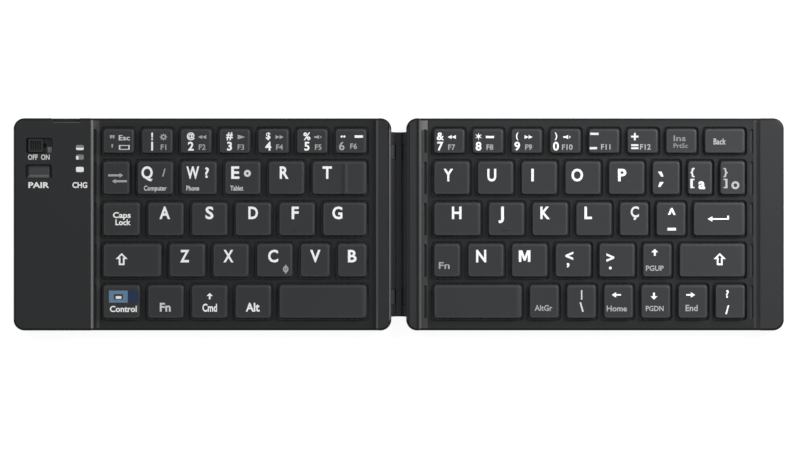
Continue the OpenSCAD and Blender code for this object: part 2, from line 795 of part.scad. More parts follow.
// All the keycaps that belong to one node
module keycaps(name) {
    homing = len([for (h = homing_keys) if (h == name) h]) > 0;
    color(soft_black) at_keys([for (k = concat(left_keys, right_keys)) if (k[0] == name) k]) keycap(homing);
}

// ---- Electronics and controls ----

module main_board() {
    housing_in = [switch_travel + switch_stem[0] + housing_wall[0], switch_stem[1] + switch_slot_play[1]];
    housing = [housing_in[0] + 2 * housing_wall[0], housing_in[1] + 2 * housing_wall[1]];
    color("darkgreen") {
        translate([-bay_out, board_front, board_z])
            cube([bay_out - bay_in, board_back - board_front, board_t]);
        // Connector that the membrane's tail goes into
        translate([-bay_in - tail_lap[1] - connector[0], tail_y - connector[1] / 2, z_membrane])
            cube([connector[0], connector[1], board_z - z_membrane + eps]);
    }
    color(soft_black) {
        translate([-bay_out + control_chip_in[0], board_front + control_chip_in[1], board_top - eps])
            cube(control_chip);
        translate([-bay_in - radio_module_in[0] - radio_module[0], board_front + radio_module_in[1],
                   board_top - eps])
            cube(radio_module);
        // Housing of the slide switch, with the groove that its stem runs in
        translate([switch_x + switch_travel / 2, switch_y, board_top - eps]) difference() {
            translate([-housing[0] / 2, -housing[1] / 2, 0]) cube([housing[0], housing[1], housing_h]);
            translate([-housing_in[0] / 2, -housing_in[1] / 2, housing_floor])
                cube([housing_in[0], housing_in[1], housing_h]);
        }
        // Tactile switch under the pairing button
        translate([button_x, button_y, board_top - eps]) {
            translate([-tact_body[0] / 2, -tact_body[1] / 2, 0]) cube(tact_body);
            cylinder(d = tact_d, h = tact_h);
        }
    }
    color("white") for (y = light_ys)
        translate([light_x - lamp[0] / 2, y - lamp[1] / 2, board_top - eps]) cube(lamp);
}

module battery() {
    middle_x = -(bay_in + bay_out + battery_side_gap) / 2;
    color("silver") {
        translate([middle_x, battery_back - battery_l / 2, z_floor])
            rounded_plate([bay_out - bay_in - battery_side_gap, battery_l, battery_t], battery_r);
        translate([middle_x - battery_tab[0] / 2, battery_back - eps, z_floor + battery_tab_z])
            cube(battery_tab);
    }
}

// Outline of the charging port, or of its mouth, of size [width, height]
function port_outline(size) = [
    [-size[0] / 2 + port_taper, 0], [size[0] / 2 - port_taper, 0], [size[0] / 2, port_taper],
    [size[0] / 2, size[1]], [-size[0] / 2, size[1]], [-size[0] / 2, port_taper]
];

// Receptacle with a slotted mouth and a contact tongue
module charge_port() {
    color(steel) translate([port_x, half_w - port_notch[1] - port_l, board_top]) {
        difference() {
            prism_y(port_outline([port_w, port_h]), 0, port_l);
            translate([0, 0, port_shell])
                prism_y(port_outline([port_w - 2 * port_shell, port_h - 2 * port_shell]),
                        port_l - port_mouth_deep, port_l + cut);
        }
        translate([-port_tongue[0] / 2, port_l - port_mouth_deep - eps, port_shell + port_tongue_z])
            cube(port_tongue);
    }
}

module power_switch() {
    bottom = z_bar - switch_pocket[2] + switch_lift;
    top = z_bar - control_drop;
    stem_low = board_top + switch_stem_lift;
    color(soft_black) translate([switch_x, switch_y, 0]) difference() {
        union() {
            translate([0, 0, bottom]) rounded_plate([switch_l, switch_w, top - bottom], switch_r);
            translate([-switch_stem[0] / 2, -switch_stem[1] / 2, stem_low])
                cube([switch_stem[0], switch_stem[1], bottom - stem_low + eps]);
        }
        // Grooves across the grip
        for (i = [0 : switch_grooves - 1])
            translate([(i - (switch_grooves - 1) / 2) * switch_groove_step - switch_groove[0] / 2,
                       -switch_groove[1] / 2, top - switch_groove[2]])
                cube([switch_groove[0], switch_groove[1], switch_groove[2] + cut]);
    }
}

module pair_button() {
    flange_top = z_skin - flange_gap;
    flange_low = flange_top - button_flange[1];
    stem_low = board_top + tact_h + button_travel + button_stem_gap;
    color(soft_black) translate([button_x, button_y, 0]) {
        translate([0, 0, flange_low + eps])
            rounded_plate([button_l, button_w, z_bar - control_drop - flange_low], button_r);
        translate([0, 0, flange_low])
            rounded_plate([button_l + 2 * button_flange[0], button_w + 2 * button_flange[0],
                           button_flange[1]], button_r);
        rod(0, 0, stem_low, flange_low + eps, button_stem_d);
    }
}

// Three clear light guides over the lamps on the board
module indicator_lights() {
    low = board_top + lamp[2] + light_gap;
    color("white") for (y = light_ys) translate([light_x, y, 0]) {
        translate([0, 0, low]) rounded_plate([light_size[0], light_size[1], z_bar - low], light_r);
        translate([0, 0, z_skin - light_flange[1]])
            rounded_plate([light_size[0] + 2 * light_flange[0], light_size[1] + 2 * light_flange[0],
                           light_flange[1]], light_r);
    }
}

spine_base();
spine_cover();
hinge_pins();
flex_cable();
left_bottom_case();
left_top_frame();
left_support_plate();
left_membrane();
left_domes();
left_scissors();
left_screws();
left_feet();
left_magnets();
main_board();
battery();
charge_port();
power_switch();
pair_button();
indicator_lights();
right_bottom_case();
right_top_frame();
right_support_plate();
right_membrane();
right_domes();
right_scissors();
right_screws();
right_feet();
right_magnets();
for (name = KEY_NODES) keycaps(name);
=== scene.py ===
"""Looks of the folding pocket keyboard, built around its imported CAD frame.

Lengths in the tables are in millimetres and become metres through MM. +X runs to the right, +Y to the
back edge and +Z up, as in the frame.
"""

import json
import math

import bmesh
import bpy
from mathutils import Matrix, Vector

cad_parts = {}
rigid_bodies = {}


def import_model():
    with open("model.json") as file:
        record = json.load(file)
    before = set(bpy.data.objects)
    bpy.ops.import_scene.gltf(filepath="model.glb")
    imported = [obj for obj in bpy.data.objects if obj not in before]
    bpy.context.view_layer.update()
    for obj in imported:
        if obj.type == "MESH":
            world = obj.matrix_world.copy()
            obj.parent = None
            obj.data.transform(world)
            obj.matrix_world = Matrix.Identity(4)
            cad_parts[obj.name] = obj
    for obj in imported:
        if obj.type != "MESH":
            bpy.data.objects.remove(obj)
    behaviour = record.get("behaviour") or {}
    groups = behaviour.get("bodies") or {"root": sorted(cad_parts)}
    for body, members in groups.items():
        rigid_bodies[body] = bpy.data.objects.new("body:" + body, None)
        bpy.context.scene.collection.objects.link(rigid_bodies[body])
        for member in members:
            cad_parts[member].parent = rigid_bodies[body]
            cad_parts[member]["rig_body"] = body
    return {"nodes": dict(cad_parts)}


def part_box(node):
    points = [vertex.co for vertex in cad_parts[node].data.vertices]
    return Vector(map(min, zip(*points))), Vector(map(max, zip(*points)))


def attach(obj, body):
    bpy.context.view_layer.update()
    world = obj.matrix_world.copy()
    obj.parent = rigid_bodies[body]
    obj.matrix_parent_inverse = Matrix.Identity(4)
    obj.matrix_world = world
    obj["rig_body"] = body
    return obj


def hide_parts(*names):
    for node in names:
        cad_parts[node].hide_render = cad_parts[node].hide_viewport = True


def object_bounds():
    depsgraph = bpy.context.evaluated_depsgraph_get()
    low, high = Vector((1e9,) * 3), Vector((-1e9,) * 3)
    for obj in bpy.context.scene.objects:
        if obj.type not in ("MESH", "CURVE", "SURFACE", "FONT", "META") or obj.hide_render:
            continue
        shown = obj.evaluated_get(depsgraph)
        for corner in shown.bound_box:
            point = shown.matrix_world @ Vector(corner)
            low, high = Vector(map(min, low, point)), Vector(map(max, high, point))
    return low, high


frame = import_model()
cad_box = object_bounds()

MM = 0.001


# ---- Node arithmetic ----

def maths(operation):
    """A method of Value that adds a Math node of this kind to its tree."""
    return lambda value, *others: value.bench.math(operation, value, *others)


def reflected(operation):
    """The same for a number that stands before the value."""
    return lambda value, other: value.bench.math(operation, other, value)


class Value:
    """A node's output that Python arithmetic works on."""

    def __init__(self, bench, socket):
        self.bench = bench
        self.socket = socket

    def kept_in(self):
        """The value held between 0 and 1."""
        return self.bench.math("ADD", self, 0.0, clamp=True)

    __add__ = __radd__ = maths("ADD")
    __sub__, __rsub__ = maths("SUBTRACT"), reflected("SUBTRACT")
    __mul__ = __rmul__ = maths("MULTIPLY")
    __truediv__, __rtruediv__ = maths("DIVIDE"), reflected("DIVIDE")
    __mod__, __rmod__ = maths("FLOORED_MODULO"), reflected("FLOORED_MODULO")
    __gt__ = maths("GREATER_THAN")
    __lt__ = maths("LESS_THAN")
    floor = maths("FLOOR")
    cos = maths("COSINE")
    sin = maths("SINE")
    largest = maths("MAXIMUM")


class Bench:
    """A node tree, and the one method that adds a node to it."""

    def __init__(self, tree):
        self.tree = tree

    def node(self, kind, inputs=None, items=0, **settings):
        """Adds a node and gives its outputs.

        Its settings are set first, with the number of items that an Index Switch picks from. Then each
        input, by its name or number, is linked to a Value or set to anything else.
        """
        made = self.tree.nodes.new(kind)
        for key, value in settings.items():
            setattr(made, key, value)
        while items and len(made.index_switch_items) < items:
            made.index_switch_items.new()
        for key, value in (inputs or {}).items():
            if isinstance(value, Value):
                self.tree.links.new(value.socket, made.inputs[key])
            else:
                made.inputs[key].default_value = value
        return Outputs(self, made)

    def math(self, operation, *terms, clamp=False):
        return self.node("ShaderNodeMath", dict(enumerate(terms)), operation=operation, use_clamp=clamp)[0]


class Outputs:
    """A node's outputs by name or number, each as a Value."""

    def __init__(self, bench, made):
        self.bench = bench
        self.made = made

    def __getitem__(self, key):
        return Value(self.bench, self.made.outputs[key])


# ---- Materials ----

def srgb(*levels):
    """A colour given as levels from 0 to 255, as the shader wants it."""
    linear = [(c / 255 / 12.92) if c <= 10 else ((c / 255 + 0.055) / 1.055) ** 2.4 for c in levels]
    return (*(linear * 3 if len(linear) == 1 else linear), 1.0)


def shaded(colour, factor):
    return (*(min(1.0, c * factor) for c in colour[:3]), 1.0)


def blank_material(name):
    material = bpy.data.materials.new(name)
    material.use_nodes = True
    material.node_tree.nodes.clear()
    return material, Bench(material.node_tree)


def surface_output(bench, shader):
    bench.node("ShaderNodeOutputMaterial", {"Surface": shader})


def surface(bench, inputs):
    """Ends a material's tree in a Principled shader with these inputs."""
    surface_output(bench, bench.node("ShaderNodeBsdfPrincipled", inputs)["BSDF"])


def places(bench, stretch=(1, 1, 1)):
    """Object coordinates, stretched."""
    spot = bench.node("ShaderNodeTexCoord")["Object"]
    return bench.node("ShaderNodeMapping", {"Vector": spot, "Scale": stretch})["Vector"]


def along(bench, axis):
    """The place along one axis, in metres."""
    return bench.node("ShaderNodeSeparateXYZ", {0: places(bench)})[axis]


def noise(bench, size, detail=2.0, stretch=(1, 1, 1), roughness=0.5):
    """Noise from 0 to 1 whose blobs are about size millimetres across."""
    return bench.node("ShaderNodeTexNoise", {
        "Vector": places(bench, stretch), "Scale": 1 / (size * MM), "Detail": detail,
        "Roughness": roughness})["Fac"]


def mixed(bench, factor, first, second):
    """A colour between two others."""
    return bench.node("ShaderNodeMix", {0: factor, 6: first, 7: second}, data_type="RGBA")[2]


def bumped(bench, height, depth):
    """Bumps of depth millimetres where height goes from 0 to 1."""
    made = bench.node("ShaderNodeBump", {"Height": height, "Distance": depth * MM, "Strength": 1.0})
    return made["Normal"]


def in_box(bench, x0, y0, x1, y1):
    """1 where the place is between these millimetres along X and Y."""
    spot = bench.node("ShaderNodeSeparateXYZ", {0: places(bench)})
    x, y = spot["X"], spot["Y"]
    return (x > x0 * MM) * (x < x1 * MM) * (y > y0 * MM) * (y < y1 * MM)


def moulded_plastic(name, colour, roughness, grain=0.3, depth=0.01, mottle=0.1, specular=0.5,
                    edge_highlight=None, edge_roughness=0.3, painted_light_strips=()):
    """Plastic with a fine sparked grain, faint flow mottling and, where asked, rounded edges and strips in
    painted highlight or painted shade; the edges also take the low roughness of wear.

    Each strip is (x0, y0, x1, y1, colour), with its box in millimetres.
    """
    material, bench = blank_material(name)
    fine = noise(bench, grain, 3.0)
    broad = noise(bench, 22, 3.0, roughness=0.6)
    rubbing_and_sheen = noise(bench, 4, 4.0, roughness=0.65)
    tint = mixed(bench, broad, shaded(colour, 1 - mottle), shaded(colour, 1 + mottle))
    rough = roughness + (fine - 0.5) * 0.16 + (rubbing_and_sheen - 0.5) * 0.14
    # Rounded edges take a painted highlight in their colour, and the lower roughness of wear
    if edge_highlight:
        edge = bench.node("ShaderNodeAttribute", attribute_name="edge")["Fac"]
        tint = mixed(bench, (edge * (0.7 + rubbing_and_sheen * 0.4)).kept_in(), tint, edge_highlight)
        rough = rough - edge * (roughness - edge_roughness)
    # Each strip paints a highlight or a shade over its box, broken up by noise
    for *box, other in painted_light_strips:
        tint = mixed(bench, in_box(bench, *box) * (0.8 + rubbing_and_sheen * 0.3), tint, other)
    surface(bench, {"Base Color": tint, "Roughness": rough, "Specular IOR Level": specular,
                    "Normal": bumped(bench, fine + rubbing_and_sheen * 0.4, depth)})
    return material


def case_plastic(name, painted_light_strips=()):
    """The grained plastic of the casing."""
    return moulded_plastic(name, srgb(39, 41, 42), 0.5, 0.4, 0.014, specular=0.15, painted_light_strips=painted_light_strips)


def deck_plastic(name, painted_light_strips):
    """The plastic of the deck that the keys come through, painted darker than the case as shade between the
    keys.
    """
    return moulded_plastic(name, srgb(33, 35, 36), 0.52, specular=0.14, painted_light_strips=painted_light_strips)


def polished_highlight_plastic(name, colour, roughness, mottle=0.05, specular=0.2, painted_light_strips=()):
    """Plastic for painted highlights: lighter colours with the fine grain and low roughness of a polished
    part of the mould.
    """
    return moulded_plastic(name, colour, roughness, 0.3, 0.004, mottle, specular, painted_light_strips=painted_light_strips)


def rubber(name, colour, roughness=0.75, dust=0.25):
    """Soft rubber with a little dust on it."""
    material, bench = blank_material(name)
    fine = noise(bench, 0.2, 3.0)
    broad = noise(bench, 3, 4.0, roughness=0.7)
    tint = mixed(bench, (broad - 0.45) * dust * 4, colour, shaded(colour, 1.8))
    surface(bench, {"Base Color": tint, "Roughness": roughness + (broad - 0.5) * 0.15,
                    "Specular IOR Level": 0.3, "Normal": bumped(bench, fine, 0.02)})
    return material


def metal(name, colour, roughness, brushed=(1, 1, 1), size=0.3, stain=0.15):
    """Metal with brushing or grain, and faint stains."""
    material, bench = blank_material(name)
    lines = noise(bench, size, 3.0, stretch=brushed)
    stains = noise(bench, 6, 4.0, roughness=0.65)
    surface(bench, {
        "Base Color": mixed(bench, stains, shaded(colour, 1 - stain), shaded(colour, 1 + stain / 2)),
        "Metallic": 1.0, "Roughness": roughness + (lines - 0.5) * 0.2 + (stains - 0.5) * 0.15,
        "Normal": bumped(bench, lines, 0.006)})
    return material


def striped(bench, axis, pitch, width):
    """1 on stripes of width millimetres that repeat every pitch millimetres along an axis."""
    return ((along(bench, axis) / (pitch * MM)) % 1.0) < width / pitch


def film(name, colour, track, pitch, width, axis):
    """Plastic film with printed conductor tracks, broken up so that they look routed."""
    material, bench = blank_material(name)
    routed = noise(bench, 9, 1.0) > 0.47
    tracks = striped(bench, axis, pitch, width) * routed
    sheen = noise(bench, 12, 2.0)
    surface(bench, {
        "Base Color": mixed(bench, tracks, mixed(bench, sheen, shaded(colour, 0.85), colour), track),
        "Metallic": tracks * 0.8, "Roughness": 0.35 + (sheen - 0.5) * 0.15,
        "Normal": bumped(bench, tracks, 0.02)})
    return material


def circuit_board(name, chips_above):
    """Green board with paler tracks and tinned pads; what stands above it is black moulding."""
    material, bench = blank_material(name)
    part = along(bench, "Z") > chips_above * MM
    tracks = striped(bench, "X", 0.9, 0.35) * (noise(bench, 5, 1.0) > 0.5)
    pads = bench.node("ShaderNodeTexVoronoi", {"Vector": places(bench), "Scale": 1 / (2.2 * MM)})
    tinned = pads["Distance"] < 0.2
    green = mixed(bench, tracks, srgb(12, 62, 34), srgb(28, 96, 54))
    board = mixed(bench, tinned, green, srgb(190, 190, 185))
    fine = noise(bench, 0.3, 2.0)
    surface(bench, {
        "Base Color": mixed(bench, part, board, srgb(28, 28, 30)),
        "Metallic": tinned * (1 - part) * 0.9, "Roughness": 0.42 + part * 0.2 + (fine - 0.5) * 0.1,
        "Normal": bumped(bench, tracks * (1 - part) + fine * 0.2, 0.02)})
    return material


def clear_guide(name, masks):
    """Milky light guide; each mask (x0, y0, x1, y1) is a part with less light behind it."""
    material, bench = blank_material(name)
    cloud = noise(bench, 1.2, 2.0)
    tint = mixed(bench, cloud, srgb(232), srgb(250))
    for mask in masks:
        tint = mixed(bench, in_box(bench, *mask) * (0.85 + cloud * 0.2), tint, srgb(112))
    surface(bench, {"Base Color": tint, "Roughness": 0.22 + cloud * 0.1,
                    "Normal": bumped(bench, cloud, 0.01)})
    return material


def printed_ink(name, *levels):
    """Pad-printed ink, a touch thinner here and there."""
    material, bench = blank_material(name)
    colour = srgb(*levels)
    thin = noise(bench, 0.5, 3.0, roughness=0.7)
    surface(bench, {"Base Color": mixed(bench, thin, shaded(colour, 0.88), colour),
                    "Roughness": 0.5 + (thin - 0.5) * 0.2, "Specular IOR Level": 0.3})
    return material


# Strips that run from before the front edge to behind the back edge
FRONT, BACK = -45, 45
# Strips of painted highlight and painted shade on the case, the keycaps and the spine, each as (x0, y0, x1,
# y1, colour)
# Painted highlight in the charging port's notch, and painted light that lifts the shade on the right hinge
# bar
PORT_NOTCH_HIGHLIGHT = (-140, 41.2, -128.9, 42.7, srgb(100))
RIGHT_HINGE_BAR_HIGHLIGHT = (3, FRONT, 8.3, BACK, srgb(44, 46, 47))
# Painted highlights on the deck at the feet of the steps and at their back corners, and along the right
# deck's back edge; painted light at the right end where the bar's shadow falls
LEFT_STEP_FOOT_HIGHLIGHT = (-122.5, FRONT, -121.3, BACK, srgb(62))
LEFT_STEP_CORNER_HIGHLIGHT = (-123.8, 38.6, -122.5, BACK, srgb(72))
RIGHT_STEP_FOOT_HIGHLIGHT = (9.1, FRONT, 11.7, 38.2, srgb(64))
RIGHT_STEP_CORNER_HIGHLIGHT = (9.1, 38.2, 11.7, 42.3, srgb(112))
RIGHT_BACK_STRIP_HIGHLIGHT = (11.7, 38.6, 143.9, BACK, srgb(37, 39, 40))
RIGHT_END_FOOT_HIGHLIGHT = (143.9, FRONT, 146.2, BACK, srgb(62))
# Painted highlights on the left half's slopes and lip
LEFT_SLOPES_HIGHLIGHT = (-125.5, FRONT, -5, BACK, srgb(104))
LEFT_LIP_HIGHLIGHT = (-5, FRONT, 0, BACK, srgb(74, 75, 77))
# Painted shadow beside the rib of the widest letter key
BEFORE_THE_RIB_SHADOW = (-23.4, 10.5, -22.1, 24.5, srgb(41))
# Painted shade on the spine's left knuckles and painted light on its right ones
LEFT_KNUCKLES_SHADE = (-3.4, FRONT, -1.9, BACK, srgb(20, 20, 22))
RIGHT_KNUCKLES_HIGHLIGHT = (1.9, FRONT, 3.9, BACK, srgb(50, 50, 52))
# Parts of the light windows with less light behind them, each as (x0, y0, x1, y1)
DIM_LIGHTS = [(-131.2, 31.0, -127, 32.7), (-129.6, 25.6, -127, 28.8), (-131.2, 27.6, -127, 28.8)]
# Height of the board's upper face, above which its components stand
BOARD_TOP = 3.85

CASE = case_plastic("case_plastic")
TOP_CASES = {"left": case_plastic("left_bar_plastic", [PORT_NOTCH_HIGHLIGHT]),
             "right": case_plastic("right_bar_plastic", [RIGHT_HINGE_BAR_HIGHLIGHT])}
# Bevel faces are painted darker than the case, as shade along the rounded edges
EDGE_SHADE = moulded_plastic("case_edges", srgb(23, 24, 25), 0.42, depth=0.006, specular=0.1)
DECKS = {"left": deck_plastic("left_deck_plastic", [LEFT_STEP_FOOT_HIGHLIGHT, LEFT_STEP_CORNER_HIGHLIGHT]),
         "right": deck_plastic("right_deck_plastic", [
             RIGHT_STEP_FOOT_HIGHLIGHT, RIGHT_STEP_CORNER_HIGHLIGHT, RIGHT_BACK_STRIP_HIGHLIGHT, RIGHT_END_FOOT_HIGHLIGHT])}
SLOT = moulded_plastic("slot_plastic", srgb(58, 58, 59), 0.6, specular=0.1)
# The slopes and lips are painted lighter than the case, as highlights
SLOPE = polished_highlight_plastic("slopes_painted_highlight", srgb(73, 74, 76), 0.34, painted_light_strips=[LEFT_SLOPES_HIGHLIGHT])
LIP = polished_highlight_plastic("lip_painted_highlight", srgb(58, 59, 61), 0.36, painted_light_strips=[LEFT_LIP_HIGHLIGHT])
# Keycap rims are painted lighter, as a highlight, with the lower roughness of wear; a painted shadow lies
# beside the rib
KEYCAP = moulded_plastic("keycap_plastic", srgb(49, 50, 52), 0.48, depth=0.008, mottle=0.06, specular=0.15,
                         edge_highlight=srgb(60, 61, 63), painted_light_strips=[BEFORE_THE_RIB_SHADOW])
# The rib is painted lighter than the keycap, as a highlight
RIB = polished_highlight_plastic("highlighted_rib", srgb(59, 60, 62), 0.4)
# The spine's knuckles carry painted shade on the left and painted light on the right
SPINE = moulded_plastic("spine_plastic", srgb(42, 42, 44), 0.5, 0.35, specular=0.12,
                        painted_light_strips=[LEFT_KNUCKLES_SHADE, RIGHT_KNUCKLES_HIGHLIGHT])
# The cover is painted paler than the spine base, as light on the shaded middle of the hinge
COVER = moulded_plastic("cover_plastic", srgb(56, 56, 58), 0.5, 0.35, specular=0.12)
BUTTON = moulded_plastic("button_plastic", srgb(60, 61, 62), 0.42, depth=0.008, specular=0.18)
CONTROL = moulded_plastic("control_plastic", srgb(40, 41, 42), 0.4, depth=0.008, specular=0.18)
# A pale finish for the button's front slope, a painted highlight
BUTTON_FRONT_HIGHLIGHT = polished_highlight_plastic("button_front_highlight", srgb(160, 161, 163), 0.3, mottle=0.08, specular=0.3)
FOOT = rubber("foot_rubber", srgb(34))
DOME = rubber("dome_rubber", srgb(84, 84, 83), 0.5, dust=0.1)
LINK = moulded_plastic("link_plastic", srgb(60, 60, 61), 0.42, 0.5, 0.004, mottle=0.05, specular=0.2)
# The membrane's film is painted dark, as shade in the gaps round the keys
MEMBRANE = film("membrane_film", srgb(26, 27, 27), srgb(42, 43, 43), 2.6, 0.7, "X")
FLEX = film("flex_film", srgb(176, 104, 34), srgb(214, 150, 90), 1.2, 0.6, "Y")
STEEL = metal("steel", srgb(176, 178, 182), 0.34, brushed=(0.06, 1, 1))
PLATE = metal("black_plate", srgb(52, 52, 54), 0.5, size=0.5)
MAGNET = metal("nickel", srgb(196, 194, 188), 0.22)
BOARD = circuit_board("circuit_board", BOARD_TOP)
BATTERY = metal("battery_foil", srgb(190, 191, 194), 0.4, size=1.5)
PORT = metal("port_metal", srgb(184, 184, 186), 0.28)
GUIDE = clear_guide("light_guide", DIM_LIGHTS)
INKS = {"white": printed_ink("white_ink", 250), "light": printed_ink("light_ink", 215),
        "grey": printed_ink("grey_ink", 168), "dim": printed_ink("dim_ink", 128),
        "blue": printed_ink("blue_ink", 12, 36, 64), "sky": printed_ink("sky_ink", 100, 130, 156)}


# ---- Pieces ----

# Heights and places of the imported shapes
RIM, TOP = (corner.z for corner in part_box("key_q"))
DECK = RIM + 0.6 * MM
SLOT_DEPTH = 0.6 * MM
CASE_CORNER = 4.4 * MM
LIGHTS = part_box("indicator_lights")
LIGHTS_TO_BAR_EDGE = 0.4 * MM
HINGE_REACH, HINGE_TOP = 5.7 * MM, 6.3 * MM
LIP_REACH = 4 * MM
RIGHT_BAR = 100 * MM
DECK_EDGE, SLOT_END = 41.5 * MM, 42.6 * MM
# Edges that a bevel reaches: above the first height on a top, below the second on an underside
SEEN_ABOVE, SEEN_BELOW = 4.9 * MM, 1.6 * MM
# Bevels: the angle from which an edge is sharp, how near the outline an edge lies on it, and the finest width
SHARP = math.radians(32)
ON_OUTLINE = 0.12 * MM
FINE_BREAK = 0.07
# Corners closer than this are one corner
JOINED = 0.0005 * MM
# The smallest face that counts as a slope, in square metres
SMALLEST_SLOPE = 8 * MM * MM
# Places of a top frame's finishes; a bevel's own faces take EDGE_FACE
PLAIN_FACE, EDGE_FACE, DECK_FACE, SLOT_FACE, SLOPE_FACE, LIP_FACE = range(6)


def in_scene(name, data):
    """A new object in the scene."""
    thing = bpy.data.objects.new(name, data)
    bpy.context.scene.collection.objects.link(thing)
    return thing


def mesh_of(work, name):
    """The mesh of a bmesh, which is then done with."""
    mesh = bpy.data.meshes.new(name)
    work.to_mesh(mesh)
    work.free()
    return mesh


def finish_with(mesh, materials):
    """Puts materials in a mesh's places for them, and keeps which face has which."""
    for place, material in enumerate(materials):
        if place < len(mesh.materials):
            mesh.materials[place] = material
        else:
            mesh.materials.append(material)


def new_piece(name, mesh, body, materials=(), replaced=()):
    """Puts a finished mesh in the scene as a piece that rides on a body."""
    mesh.name = name
    piece = in_scene(name, mesh)
    finish_with(mesh, materials)
    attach(piece, body)
    if replaced:
        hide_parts(*replaced)
    return piece


def dress(node, finish):
    """Gives a CAD node its finish and leaves its shape alone."""
    finish_with(frame["nodes"][node].data, [finish])


def evaluated_mesh(thing):
    """A plain mesh of an object as its modifiers leave it; the object goes."""
    graph = bpy.context.evaluated_depsgraph_get()
    graph.update()
    mesh = bpy.data.meshes.new_from_object(thing.evaluated_get(graph), depsgraph=graph)
    bpy.data.objects.remove(thing)
    return mesh


def joined_copy(node):
    """A bmesh of a CAD node with its corners joined."""
    work = bmesh.new()
    work.from_mesh(frame["nodes"][node].data)
    bmesh.ops.remove_doubles(work, verts=work.verts, dist=JOINED)
    return work


def merged_copy(node):
    """A CAD node's mesh with its corners joined and its flat faces whole."""
    work = joined_copy(node)
    bmesh.ops.dissolve_limit(work, angle_limit=math.radians(1), verts=work.verts, edges=work.edges)
    return mesh_of(work, node)


def at_lights(spot):
    """Whether a place is at the light windows, which stand close to the bar's edge."""
    low, high = LIGHTS
    return low.x - MM < spot.x < high.x + LIGHTS_TO_BAR_EDGE and low.y - MM < spot.y < high.y + MM


def mark_edges(mesh, outline, rim, width, up):
    """Weighs the convex edges for a bevel: the outer rim whole, the others that can be seen by width."""
    work = bmesh.new()
    work.from_mesh(mesh)
    weights = work.edges.layers.float.new("bevel_weight_edge")
    middle, reach = (outline[0] + outline[1]) / 2, (outline[1] - outline[0]) / 2
    for edge in work.edges:
        if len(edge.link_faces) != 2 or edge.calc_face_angle_signed(0) < SHARP:
            continue
        spot = (edge.verts[0].co + edge.verts[1].co) / 2
        beyond = [max(abs(spot[i] - middle[i]) - reach[i] + CASE_CORNER, 0) for i in (0, 1)]
        outside = abs(math.hypot(*beyond) - CASE_CORNER) < ON_OUTLINE
        ways = sorted(face.normal.z * up for face in edge.link_faces)
        at_hinge = abs(spot.x) < HINGE_REACH and spot.z < HINGE_TOP
        seen = spot.z > SEEN_ABOVE if up > 0 else spot.z < SEEN_BELOW
        if outside and abs(ways[0]) < 0.05 and ways[1] > 0.25:
            edge[weights] = 1.0
        elif not at_hinge and (outside or seen):
            edge[weights] = (FINE_BREAK if at_lights(spot) else width) / rim
    work.to_mesh(mesh)
    work.free()


def bevelled(node, width, rim=0.0, up=1):
    """A CAD node's shape with its edges broken by width millimetres, and its outer rim rounded by rim."""
    thing = in_scene("work", merged_copy(node))
    for _ in range(2):
        thing.data.materials.append(None)
    broken = thing.modifiers.new("broken edges", "BEVEL")
    broken.material = EDGE_FACE
    if rim:
        mark_edges(thing.data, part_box(node.split("_")[0] + "_bottom_case"), rim, width, up)
        broken.width, broken.segments, broken.limit_method = rim * MM, 3, "WEIGHT"
        broken.use_clamp_overlap = broken.loop_slide = False
    else:
        broken.width, broken.segments = width * MM, 2
        broken.limit_method, broken.angle_limit = "ANGLE", SHARP
        broken.use_clamp_overlap = True
    thing.data.shade_smooth()
    thing.data.set_sharp_from_angle(angle=SHARP)
    even = thing.modifiers.new("even shading", "WEIGHTED_NORMAL")
    even.mode, even.weight, even.keep_sharp = "FACE_AREA", 50, True
    mesh = evaluated_mesh(thing)
    # Where bevels meet at a lip's end, a corner may rise past the solid's top
    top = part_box(node)[1].z
    for corner in mesh.vertices:
        corner.co.z = min(corner.co.z, top)
    return mesh


def shell(node, body, slot, width, materials, **rim):
    """A CAD node's shape with softened edges, as a piece in its place."""
    return new_piece(node + "_finish", bevelled(node, width, **rim), body, materials, [node])


def is_deck(face):
    above = face.center.z - DECK
    if face.material_index == EDGE_FACE and -0.3 * MM < above < 0.05 * MM and abs(face.center.y) < DECK_EDGE:
        return True
    return face.normal.z > 0.99 and abs(above) < 0.1 * MM


def is_slot(face):
    way, above = face.normal, face.center.z - DECK
    if way.z > 0.9 and abs(above + SLOT_DEPTH) < 0.05 * MM:
        return True
    upright = abs(way.z) < 0.1 and abs(face.center.y) < SLOT_END
    return upright and abs(above + SLOT_DEPTH / 2) < 0.15 * MM


def is_slope(face):
    return abs(face.normal.y) < 0.1 and 0.25 < face.normal.z < 0.93 and face.area > SMALLEST_SLOPE


def part_finishes(piece):
    """Gives a top frame's deck, slots, slopes and lips places of their own among its finishes."""
    for face in piece.data.polygons:
        if is_deck(face):
            face.material_index = DECK_FACE
        elif is_slot(face):
            face.material_index = SLOT_FACE
        elif is_slope(face):
            at_end = abs(face.center.x) < LIP_REACH or face.center.x > RIGHT_BAR
            face.material_index = LIP_FACE if at_end else SLOPE_FACE


